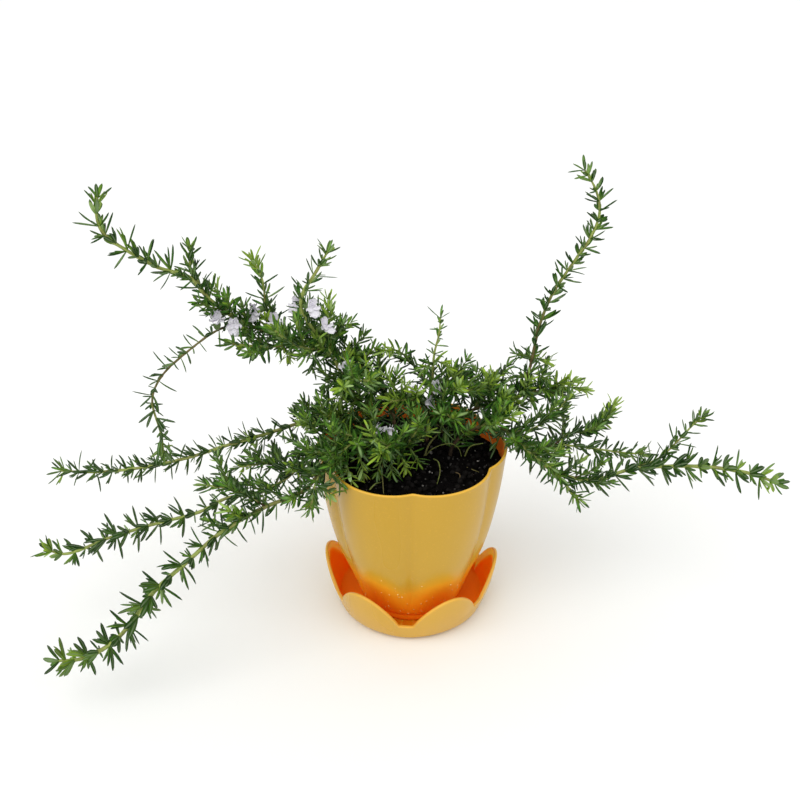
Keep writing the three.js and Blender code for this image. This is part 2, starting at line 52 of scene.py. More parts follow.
pot_low, pot_high = np.array(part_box("pot"))
soil_high = np.array(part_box("soil")[1])
POT_TOP, POT_BOTTOM, POT_R = pot_high[2], pot_low[2], pot_high[0]
POT_WALL = 0.0021
LOBES = 6
LOBE_DEPTH, LOBE_START, LOBE_FULL = 0.08, 0.008, 0.034
SOIL_CROWN = 0.0025
SOIL_TOP = soil_high[2] - SOIL_CROWN
SAUCER_R, SAUCER_TOP, SAUCER_FLARE = 0.056, 0.042, 0.0115
SAUCER_WALL, SAUCER_FLOOR = 0.0024, 0.0025
SAUCER_TURN = math.radians(-4)
VALLEY = 0.017
# Half widths of the flat valley and of a petal, as shares of the turn between valleys
VALLEY_HALF, PETAL_HALF = 0.09, 0.41
PETAL_POWER = 0.8

# ---- small helpers


def smoothstep(low, high, x):
    t = np.clip((x - low) / (high - low), 0, 1)
    return t * t * (3 - 2 * t)


def unit(v):
    v = np.asarray(v, float)
    return v / np.maximum(np.linalg.norm(v, axis=-1, keepdims=True), 1e-9)


def turn_about(v, axis, angle):
    kept = axis * (axis @ v) * (1 - math.cos(angle))
    return v * math.cos(angle) + np.cross(axis, v) * math.sin(angle) + kept


def vary(*seeds):
    """Repeatable variation between 0 and 1."""
    wave = math.sin(sum(s * (12.9898 + 65.233 * i) for i, s in enumerate(seeds))) * 43758.5453
    return wave - math.floor(wave)


def full_turn(count):
    """Evenly spaced angles once round a circle."""
    return np.linspace(0, 2 * math.pi, count, endpoint=False)


def ring_round(centre, radius, angle, side, over):
    """Points round a centre, from side towards over."""
    return centre + radius * (np.cos(angle)[:, None] * side + np.sin(angle)[:, None] * over)


def globe(rings, around, pole):
    """A unit sphere in rings from the bottom up, open by the angle pole at each end."""
    lat = np.linspace(pole, math.pi - pole, rings)[:, None]
    lon = full_turn(around)[None]
    x, y = np.sin(lat) * np.cos(lon), np.sin(lat) * np.sin(lon)
    return np.stack([x, y, -np.cos(lat) * np.ones_like(lon)], -1)


def length_of(run):
    return np.linalg.norm(np.diff(run, axis=0), axis=1).sum()


def nearest(points, place):
    return points[np.linalg.norm(points - place, axis=1).argmin()]


def through(points, count):
    """A smooth run of count points through the given ones, evenly spaced along it."""
    p = np.asarray(points, float)
    p = np.vstack([2 * p[0] - p[1], p, 2 * p[-1] - p[-2]])
    t = np.linspace(0, 1, 40, endpoint=False)[:, None]
    runs = []
    for a, b, c, d in zip(p, p[1:], p[2:], p[3:]):
        before, here, after = (max(np.linalg.norm(q - r) ** 0.5, 1e-9) for q, r in ((b, a), (c, b), (d, c)))
        leave = ((b - a) / before - (c - a) / (before + here) + (c - b) / here) * here
        arrive = ((c - b) / here - (d - b) / (here + after) + (d - c) / after) * here
        runs.append((2 * t**3 - 3 * t**2 + 1) * b + (t**3 - 2 * t**2 + t) * leave
                    + (3 * t**2 - 2 * t**3) * c + (t**3 - t**2) * arrive)
    run = np.vstack(runs + [p[-2:-1]])
    reached = np.concatenate([[0], np.cumsum(np.linalg.norm(np.diff(run, axis=0), axis=1))])
    even = np.linspace(0, reached[-1], count)
    return np.stack([np.interp(even, reached, column) for column in run.T], 1)


class Builder:
    """Collects vertices, four look values for each, faces and a material number for each."""

    def __init__(self):
        self.verts, self.faces, self.looks, self.mats, self.count = [], [], [], [], 0

    def add(self, verts, faces, look=(0, 0, 0, 0), mat=0):
        """Faces count their vertices from the first one that is added here."""
        verts = np.asarray(verts, float).reshape(-1, 3)
        self.verts.append(verts)
        self.looks.append(np.broadcast_to(np.asarray(look, float), (len(verts), 4)))
        self.faces.extend(map(tuple, (np.asarray(faces) + self.count).tolist()))
        self.mats.extend([mat] * len(faces))
        self.count += len(verts)

    def grid(self, points, look=(0, 0, 0, 0), mat=0):
        """points[rings, around, 3] as a tube of quads, each end closed by a fan."""
        rings, around = points.shape[:2]
        look = np.broadcast_to(np.asarray(look, float), (rings, around, 4)).reshape(-1, 4)
        step = np.arange(around)
        after = (step + 1) % around
        start = np.arange(rings - 1)[:, None] * around
        corners = [start + step, start + after, start + around + after, start + around + step]
        first = self.count
        self.add(points, np.stack(corners, -1).reshape(-1, 4), look, mat)
        for ring, one, other in ((0, after, step), (rings - 1, step, after)):
            edge = first + ring * around - self.count
            fan = np.stack([np.zeros_like(step), edge + one, edge + other], -1)
            self.add(points[ring].mean(0), fan, look[ring * around], mat)

    def make(self, name, materials):
        mesh = bpy.data.meshes.new(name)
        mesh.from_pydata(np.concatenate(self.verts).tolist(), [], self.faces)
        attribute = mesh.attributes.new("look", "FLOAT_COLOR", "POINT")
        attribute.data.foreach_set("color", np.concatenate(self.looks).astype(np.float32).ravel())
        for material in materials:
            mesh.materials.append(material)
        mesh.polygons.foreach_set("material_index", self.mats)
        mesh.polygons.foreach_set("use_smooth", [True] * len(mesh.polygons))
        mesh.update()
        obj = bpy.data.objects.new(name, mesh)
        bpy.context.scene.collection.objects.link(obj)
        return obj


# ---- materials
# Look values. Plastic: painted shade where shut in, painted highlight along the rim, painted shade on the
# flat floor's sides. Leaf: age, chance, share of its length, nearness to its margin, which also paints shade
# on its underside. Stem: wood, unread chance, slenderness. Soil: grit, unread chance. Flower: green.


class Nodes:
    """A material's node tree with short calls for the nodes used here."""

    def __init__(self, name):
        self.material = bpy.data.materials.new(name)
        self.material.use_nodes = True
        self.tree = self.material.node_tree
        self.shader = self.tree.nodes["Principled BSDF"]

    def node(self, kind, inputs=None, **settings):
        node = self.tree.nodes.new(kind)
        for key, value in settings.items():
            setattr(node, key, value)
        for key, value in (inputs or {}).items():
            self.put(node.inputs[key], value)
        return node

    def put(self, socket, value):
        """Links another node's output, or sets a value; a colour comes without its alpha."""
        if isinstance(value, bpy.types.NodeSocket):
            self.tree.links.new(value, socket)
        else:
            socket.default_value = (*value, 1) if socket.type == "RGBA" else value

    def set(self, **inputs):
        for key, value in inputs.items():
            self.put(self.shader.inputs[key.replace("_", " ")], value)

    def noise(self, scale, detail, rough, squeeze=(1, 1, 1)):
        where = self.node("ShaderNodeTexCoord").outputs["Object"]
        place = self.node("ShaderNodeMapping", {"Vector": where, "Scale": squeeze}).outputs["Vector"]
        inputs = {"Scale": scale, "Detail": detail, "Roughness": rough, "Vector": place}
        return self.node("ShaderNodeTexNoise", inputs).outputs["Fac"]

    def ramp(self, fac, stops):
        node = self.node("ShaderNodeValToRGB", {"Fac": fac})
        ramp = node.color_ramp
        while len(ramp.elements) < len(stops):
            ramp.elements.new(0.5)
        for element, (position, colour) in zip(ramp.elements, stops):
            element.position = position
            element.color = (*colour, 1)
        return node.outputs["Color"]

    def mix(self, fac, a, b):
        node = self.node("ShaderNodeMix", data_type="RGBA")
        self.put(node.inputs[0], fac)
        self.put(node.inputs[6], a)
        self.put(node.inputs[7], b)
        return node.outputs[2]

    def math(self, how, a, b):
        node = self.node("ShaderNodeMath", operation=how)
        self.put(node.inputs[0], a)
        self.put(node.inputs[1], b)
        return node.outputs[0]

    def span(self, value, low, high, to_low=0.0, to_high=1.0):
        node = self.node("ShaderNodeMapRange", {"Value": value, "From Min": low, "From Max": high,
                                                "To Min": to_low, "To Max": to_high})
        return node.outputs["Result"]

    def look(self):
        colour = self.node("ShaderNodeAttribute", attribute_name="look")
        parts = self.node("ShaderNodeSeparateColor", {"Color": colour.outputs["Color"]})
        return [parts.outputs[k] for k in ("Red", "Green", "Blue")] + [colour.outputs["Alpha"]]

    def bump(self, height, strength, distance):
        bump = self.node("ShaderNodeBump", {"Height": height, "Strength": strength, "Distance": distance})
        self.put(self.shader.inputs["Normal"], bump.outputs["Normal"])


def plastic(name, tint, half_shade, deepest_shade, edge, gloss=0.35, glow=0.0):
    """Tinted plastic with painted light: painted shade deepens it where it is shut in and on the sides of its
    flat floor, and a painted highlight makes it paler along rims.
    """
    n = Nodes(name)
    painted_shade, rim, floor_shade, _ = n.look()
    cloud = n.noise(14, 2, 0.5, (1, 1, 0.35))
    base = n.ramp(cloud, [(0.3, tint[0]), (0.7, tint[1])])
    base = n.mix(n.span(n.noise(700, 2, 0.5), 0.60, 0.72, 0.0, 0.22), base, edge)
    # Painted shade: deeper, redder orange where the plastic is shut in.
    colour = n.mix(n.span(painted_shade, 0, 0.4), base, half_shade)
    colour = n.mix(n.span(painted_shade, 0.3, 1.0), colour, deepest_shade)
    # Painted shade: red-orange on the sides of the flat floor.
    colour = n.mix(floor_shade, colour, (1.0, 0.255, 0.004))
    # Painted highlight: the paler edge colour along rims; the same colour also gives the small flecks above.
    n.set(Base_Color=n.mix(rim, colour, edge))
    n.set(Roughness=n.math("ADD", n.span(cloud, 0.3, 0.7, 0.26, 0.30), n.math("MULTIPLY", painted_shade, 0.25)))
    n.set(Specular_IOR_Level=gloss)
    if glow:
        n.set(Subsurface_Weight=n.span(floor_shade, 0, 1, glow, 0), Subsurface_Scale=0.008)
        n.set(Subsurface_Radius=(1.0, 0.28, 0.03))
    n.bump(cloud, 0.12, 0.0010)
    return n.material


def leaf_material():
    n = Nodes("rosemary_leaf")
    age, chance, along, side = n.look()
    green = n.ramp(age, [(0.0, (0.014, 0.084, 0.008)), (0.35, (0.052, 0.20, 0.014)),
                         (0.65, (0.14, 0.36, 0.030)), (1.0, (0.37, 0.55, 0.048))])
    grown = n.span(age, 0.55, 1.0, 1.0, 0.15)
    varied = n.mix(n.span(chance, 0, 0.5, 0.75, 0.0), green, (0.004, 0.026, 0.004))
    pale = n.mix(n.span(chance, 0.65, 1, 0.0, 0.8), varied, (0.46, 0.64, 0.29))
    fresh = n.mix(n.span(along, 0.0, 0.55, 0.72, 0.0), pale, (0.27, 0.44, 0.06))
    mottled = n.mix(n.math("MULTIPLY", n.noise(900, 2, 0.5), 0.25), fresh, (0.06, 0.15, 0.02))
    tip = n.math("MULTIPLY", n.span(along, 0.5, 1.0, 0, 0.8), grown)
    tipped = n.mix(tip, mottled, (0.012, 0.024, 0.007))
    # Darker towards the rolled margins and over the underside: partly the leaf's own dark green, partly
    # painted shade beneath it.
    margin_and_underside_shade = n.math("MULTIPLY", n.span(side, 0, 0.8, 0, 0.72), grown)
    margin_and_shade_darkened = n.mix(margin_and_underside_shade, tipped, (0.006, 0.032, 0.003))
    n.set(Base_Color=n.mix(n.span(side, 1.0, 2.0, 0, 0.75), margin_and_shade_darkened, (0.24, 0.31, 0.18)))
    n.set(Roughness=n.span(side, 0, 1, 0.40, 0.7), Specular_IOR_Level=0.13)
    n.bump(n.noise(2500, 2, 0.6), 0.3, 0.0002)
    return n.material


def stem_material():
    n = Nodes("rosemary_bark")
    wood, _, slender, _ = n.look()
    streak = n.noise(350, 4, 0.65)
    young = n.mix(streak, (0.23, 0.31, 0.05), (0.44, 0.49, 0.15))
    young = n.mix(n.span(n.noise(110, 3, 0.6), 0.48, 0.66, 0, 0.65), young, (0.20, 0.15, 0.06))
    young = n.mix(n.math("MULTIPLY", slender, 0.75), young, (0.045, 0.10, 0.015))
    bark = n.ramp(streak, [(0.25, (0.035, 0.022, 0.012)), (0.5, (0.11, 0.065, 0.032)),
                           (0.75, (0.26, 0.17, 0.10))])
    grown = n.mix(wood, young, bark)
    n.set(Base_Color=n.mix(n.span(wood, 0.95, 1.6, 0, 0.85), grown, (0.010, 0.008, 0.005)))
    n.set(Roughness=n.span(wood, 0, 1, 0.5, 0.85), Specular_IOR_Level=0.2)
    n.bump(n.math("MULTIPLY", streak, n.span(wood, 0, 1, 0.2, 1.0)), 0.6, 0.0006)
    return n.material


def petal_material():
    n = Nodes("rosemary_petal")
    green = n.look()[0]
    veins = n.noise(900, 3, 0.6)
    pale = n.mix(n.span(veins, 0.5, 0.8, 0.0, 0.6), (0.80, 0.77, 0.85), (0.60, 0.55, 0.74))
    n.set(Base_Color=n.mix(green, pale, (0.10, 0.17, 0.04)), Roughness=0.6)
    n.set(Subsurface_Weight=0.3, Subsurface_Radius=(0.8, 0.7, 0.9), Subsurface_Scale=0.001)
    n.bump(veins, 0.3, 0.0002)
    return n.material


def soil_material():
    n = Nodes("potting_soil")
    grit = n.look()[0]
    grain = n.noise(700, 6, 0.7)
    dark = n.ramp(grain, [(0.35, (0.0006, 0.0005, 0.0005)), (0.64, (0.004, 0.003, 0.0028)),
                          (0.80, (0.030, 0.024, 0.020))])
    n.set(Base_Color=n.mix(grit, dark, (0.32, 0.30, 0.28)), Roughness=n.span(grain, 0.3, 0.7, 0.95, 0.7))
    n.set(Specular_IOR_Level=0.05)
    n.bump(grain, 0.8, 0.0008)
    return n.material


def water_material():
    n = Nodes("water_drop")
    n.set(Roughness=0.03, Specular_IOR_Level=0.8, Coat_Weight=1.0, Coat_Roughness=0.02)
    n.set(Base_Color=n.mix(n.noise(300, 1, 0.5), (0.70, 0.36, 0.05), (0.85, 0.55, 0.16)))
    return n.material


POT_TINT = [(0.51, 0.298, 0.020), (0.55, 0.326, 0.030)]
# After the tint come the two painted shade colours, halfway and deepest, then the edge colour of the painted
# highlight along rims.
POT_LOOK = plastic("pot_plastic", POT_TINT, (0.78, 0.375, 0.020), (0.94, 0.335, 0.005), (0.78, 0.44, 0.045))
# Inside the pot the painted shade is redder.
POT_INSIDE_LOOK = plastic("pot_inside", POT_TINT, (0.85, 0.35, 0.03), (1.0, 0.22, 0.022),
                          (0.78, 0.44, 0.045), 0.1)
SAUCER_TINT = [(0.60, 0.34, 0.036), (0.65, 0.375, 0.05)]
# After the tint come the two painted shade colours, halfway and deepest, then the edge colour of the painted
# highlight along rims.
SAUCER_LOOK = plastic("saucer_plastic", SAUCER_TINT, (0.80, 0.40, 0.03), (1.0, 0.30, 0.002),
                      (0.82, 0.44, 0.06))
# Inside the saucer the tint is a paler, lit copy of the plastic: painted light on faces that the pot shades.
SAUCER_INSIDE_LOOK = plastic("saucer_inside", [(0.95, 0.78, 0.25), (0.97, 0.82, 0.29)], (1.0, 0.52, 0.05),
                             (1.0, 0.27, 0.006), (0.96, 0.78, 0.26), 0.06, 1.0)
LEAF_LOOK, STEM_LOOK, PETAL_LOOK = leaf_material(), stem_material(), petal_material()
SOIL_LOOK, WATER_LOOK = soil_material(), water_material()

# ---- pot and saucer

SHELL_STEPS = 432
BELLY = [(46.5, 26), (57.5, 56), (65.5, 96)]
POT_SIDE = np.array([(37.5, POT_BOTTOM / MM), *BELLY, (POT_R / MM, POT_TOP / MM)]) * MM
SIDE_RUN = through(POT_SIDE, 200)


def pot_radius(z):
    return np.interp(z, SIDE_RUN[:, 1], SIDE_RUN[:, 0])


def lobed(angle, radius, z):
    """The radius drawn in where lobes meet, in creases that are slightly rounded."""
    soft = 0.1
    least, most = soft**0.5, (1 + soft**2) ** 0.25
    arc = ((np.sin(LOBES / 2 * angle) ** 2 + soft**2) ** 0.25 - least) / (most - least)
    return radius * (1 - LOBE_DEPTH * smoothstep(LOBE_START, LOBE_FULL, z) * (1 - arc))


def lobed_shape(angle, radius, z):
    return lobed(angle, radius, z), z


def turned(name, outside, inside, shape, painted_light, materials):
    """A profile from the axis out and back to the axis, turned and moved by shape(angle, radius, z)."""
    profile = np.array([(*point, 0) for point in outside] + [(*point, 1) for point in inside], float)[1:-1]
    angle = full_turn(SHELL_STEPS)[None]
    radius, z = shape(angle, profile[:, :1], profile[:, 1:2])
    rings = np.stack([radius * np.sin(angle), -radius * np.cos(angle), np.broadcast_to(z, radius.shape)], -1)
    look = np.zeros((*radius.shape, 4))
    # Look values that paint shade and a highlight into the plastic's colour.
    look[..., 0], look[..., 1], look[..., 2] = painted_light(angle, profile[:, 2:], z)
    build = Builder()
    build.grid(rings, look)
    within = profile[:, 2]
    ring_faces = (np.minimum(within[:-1], within[1:]) > 0.5).astype(int)
    build.mats[:(len(within) - 1) * SHELL_STEPS] = np.repeat(ring_faces, SHELL_STEPS).tolist()
    build.mats[-SHELL_STEPS:] = [1] * SHELL_STEPS
    return build.make(name, materials)


def lip(outer, inner, top):
    """Half-round edge from the outer radius over the top to the inner one."""
    turn = np.linspace(0, math.pi, 7)[1:-1]
    half = (outer - inner) / 2
    return [((outer + inner) / 2 + half * math.cos(t), top - half + half * math.sin(t)) for t in turn]


def pot_painted_light(angle, within, z):
    """Painted shade: deep in colour inside, and outside as high as the petals stand round the pot; a painted
    highlight along the lip.
    """
    hump = (petal_top(angle) - VALLEY) / (SAUCER_TOP - VALLEY)
    shade_by_petals = 1 - smoothstep(0.016 + 0.010 * hump, 0.052 + 0.014 * hump, z)
    # Painted shade over the inside wall, lighter towards the top.
    inner = 1 - 0.35 * smoothstep(POT_TOP - 0.004, POT_TOP, z)
    # Painted highlight along the lip.
    rim = smoothstep(POT_TOP - 0.0013, POT_TOP - 0.0004, z) + 0 * angle
    return np.where(within > 0.5, inner, shade_by_petals), rim, 0


def make_pot():
    under, foot, floor = POT_BOTTOM + 0.003, POT_BOTTOM + 0.0055, POT_BOTTOM + 0.006
    side = [(r, z) for r, z in through(POT_SIDE, 70) if z > foot + 0.002]
    side[-1] = (side[-1][0], POT_TOP - POT_WALL / 2)
    inner = [(r - POT_WALL, z) for r, z in reversed(side) if z > 0.016]
    band = [(0.0378, POT_BOTTOM), (0.0386, POT_BOTTOM + 0.0008), (0.0388, foot - 0.001), (0.0383, foot),
            (0.0381, foot + 0.001)]
    outside = [(0, under), (0.004, under), (0.0325, under), (0.0335, POT_BOTTOM), *band, *side,
               *lip(side[-1][0], side[-1][0] - POT_WALL, POT_TOP)]
    inside = [*inner, (0.034, floor), (0.004, floor), (0, floor)]
    pot = turned("pot_shell", outside, inside, lobed_shape, pot_painted_light, [POT_LOOK, POT_INSIDE_LOOK])
    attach(pot, "root")
    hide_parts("pot")


def flare(z):
    return SAUCER_FLARE * (np.maximum(z, 0) / SAUCER_TOP) ** PETAL_POWER


def petal_top(angle):
    turn = ((angle - SAUCER_TURN) * LOBES / (2 * math.pi)) % 1
    rise = np.clip((0.5 - np.abs(turn - 0.5) - VALLEY_HALF) / PETAL_HALF, 0, 1)
    return VALLEY + (SAUCER_TOP - VALLEY) * np.sin(math.pi / 2 * rise) ** PETAL_POWER


def petalled(angle, radius, z):
    """A level wall raised to the petals' outline, each bowed out a little."""
    share = np.clip((z - SAUCER_FLOOR) / (SAUCER_TOP - SAUCER_FLOOR), 0, 1.02)
    raised = np.where(z > SAUCER_FLOOR, SAUCER_FLOOR + share * (petal_top(angle) - SAUCER_FLOOR), z)
    bow = 0.0012 * np.sin(math.pi * np.clip(share, 0, 1)) * smoothstep(0.02, 0.04, petal_top(angle))
    return radius - flare(z) + flare(raised) + np.where(z > SAUCER_FLOOR, bow, 0), raised


def saucer_painted_light(angle, within, z):
    """Painted shade deep in colour inside the petals, except for a painted highlight along their edges, and
    painted shade at the sides of the floor.
    """
    below = petal_top(angle) - z
    slope = (petal_top(angle + 0.01) - petal_top(angle - 0.01)) / (0.02 * (SAUCER_R + SAUCER_FLARE))
    from_edge = below / np.sqrt(1 + slope**2)
    # Painted shade inside the petals, kept off a band along their edges.
    deepest_shade = within * smoothstep(0.0046, 0.0098, from_edge)
    # Painted highlight along the petals' edges, wider inside.
    rim = 0.8 * (1 - smoothstep(0.0004, 0.0018 + 0.0022 * within, below))
    # Painted shade on the floor, strongest at the sides.
    at_sides = 0.15 + 0.85 * smoothstep(0.3, 0.8, np.abs(np.sin(angle)))
    return deepest_shade, rim, within * smoothstep(0.0060, 0.0030, z) * at_sides


def make_saucer():
    outer = [(SAUCER_R + flare(z), z) for z in np.linspace(0.0045, SAUCER_TOP - SAUCER_WALL / 2, 26)]
    inner = [(r - SAUCER_WALL, z) for r, z in reversed(outer)]
    foot = [(SAUCER_R - 0.0035, 0), (SAUCER_R - 0.0015, 0.0007), (SAUCER_R - 0.0002, 0.0024)]
    outside = [(0, 0), (0.004, 0), (0.030, 0), *foot, *outer, *lip(outer[-1][0], inner[0][0], SAUCER_TOP)]
    wall = SAUCER_R - SAUCER_WALL
    inside = [*inner, (wall - 0.001, 0.0031), (wall - 0.0035, SAUCER_FLOOR), (0.030, SAUCER_FLOOR),
              (0.004, SAUCER_FLOOR), (0, SAUCER_FLOOR)]
    looks = [SAUCER_LOOK, SAUCER_INSIDE_LOOK]
    saucer = turned("saucer_shell", outside, inside, petalled, saucer_painted_light, looks)
    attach(saucer, "root")
    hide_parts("saucer")


# ---- soil

GRAINS = 1900
GRAIN_SQUASH = np.array([1, 1, 0.7])
SOIL_DEPTH = 0.012
# Waves on the soil: radians in a metre, and height
SOIL_WAVES = ((140, 0.0011), (330, 0.0009), (760, 0.0006))
# Bare stalks on the soil: route and radius in millimetres, and how woody each is
STALKS = [
    [[(9, 0, 126), (13, 6, 134), (21, 14, 139), (32, 21, 143)], 0.75, 0.45],
    [[(15.7, -4.4, 128), (19, -12, 130.5), (20, -24, 129.5), (17.5, -35.5, 127)], 0.5, 0.15],
    [[(21, -3, 139), (28, -4, 141), (34, -2, 136), (37, 0, 127)], 0.35, 0.1],
    [[(9, 0, 126), (15, -2, 135), (21, -3, 139)], 0.45, 0.3],
    [[(-20, -19, 141), (-21, -34, 138), (-20, -47, 126)], 0.6, 0.5],
    [[(-30, -43, 127), (-26, -40, 130), (-22, -35, 128)], 0.6, 0.0],
    [[(39, 1, 126), (43, 0, 136), (52, -2, 140)], 0.6, 0.1],
    [[(2, -20, 127), (-4, -24, 129), (-11, -22, 127.5)], 0.4, 0.9],
    [[(30, -20, 127), (34, -26, 128.5), (33, -33, 127)], 0.4, 0.9],
    [[(40, -14, 127), (44, -19, 128), (49, -20, 126.5)], 0.4, 0.7],
    [[(8, 40, 127), (16, 44, 130), (24, 42, 127)], 0.6, 0.6],
    [[(-30, 36, 127), (-34, 30, 129), (-40, 28, 127)], 0.5, 0.3],
]


def add_soil_surface(build):
    angle = full_turn(180)[None]
    share = np.linspace(0, 1, 60)[:, None] ** 0.8
    reach = lobed(angle, pot_radius(SOIL_TOP) - POT_WALL - 0.0002, np.full_like(angle, SOIL_TOP))
    x, y = share * reach * np.sin(angle), -share * reach * np.cos(angle)
    z = np.full_like(x, SOIL_TOP) + SOIL_CROWN * (1 - share**2)
    for wave, high in SOIL_WAVES:
        phase = rng.random(4) * 6
        one = np.sin(wave * x + phase[0] + 1.7 * np.sin(wave * 0.6 * y + phase[1]))
        other = np.sin(wave * y + phase[2] + 1.3 * np.sin(wave * 0.7 * x + phase[3]))
        z += high * one * other
    z += (rng.random(z.shape) - 0.5) * 0.0009
    top = np.stack([x, y, z], -1)
    rim = top[-1:] * [1, 1, 0] + [0, 0, SOIL_TOP - SOIL_DEPTH]
    build.grid(np.concatenate([top[1:], rim]))


def add_grain(build, centre, size, grit):
    """A small lumpy grain, seven-sided, turned at random."""
    lump = 1 + 0.35 * (rng.random((5, 7)) - 0.5)
    shape = globe(5, 7, 0.15) * GRAIN_SQUASH * lump[..., None]
    spin, _ = np.linalg.qr(unit(rng.normal(size=(3, 3))))
    build.grid(centre + shape * size @ spin.T, (grit, rng.random(), 0, 0))


def add_grains(build):
    for _ in range(GRAINS):
        angle, share = rng.random() * 2 * math.pi, rng.random() ** 0.5 * 0.96
        radius = share * float(lobed(angle, pot_radius(SOIL_TOP) - 0.0035, SOIL_TOP))
        size = 0.0007 + 0.0019 * rng.random() ** 3
        pick = rng.random()
        grit = (pick < 0.035) + 0.22 * (0.035 < pick < 0.20) if size < 0.0016 else 0.03 * (pick < 0.4)
        level = SOIL_TOP + SOIL_CROWN * (1 - share * share) + size * 0.35
        centre = np.array([radius * math.sin(angle), -radius * math.cos(angle), level])
        add_grain(build, centre, size, grit * (0.4 + 0.6 * rng.random()))


def add_stalks(build):
    turn = full_turn(7)[None, :, None]
    taper = (1 - 0.5 * np.linspace(0, 1, 24) ** 2)[:, None, None]
    for route, radius, wood in STALKS:
        points = through(np.array(route, float) * MM, 24)
        tangents = unit(np.gradient(points, axis=0))
        side = unit(np.cross(tangents, UP + 0.01))[:, None]
        over = unit(np.cross(side[:, 0], tangents))[:, None]
        tube = points[:, None] + taper * radius * MM * (np.cos(turn) * side + np.sin(turn) * over)
        build.grid(tube, (wood, rng.random(), 0.65, 0), 1)


def make_soil():
    build = Builder()
    add_soil_surface(build)
    add_grains(build)
    add_stalks(build)
    soil = build.make("soil_bed", [SOIL_LOOK, STEM_LOOK])
    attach(soil, "root")
    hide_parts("soil")


# ---- rosemary
# Branches, in millimetres: start and end radius, sprigs, share of the length that bears them, route points

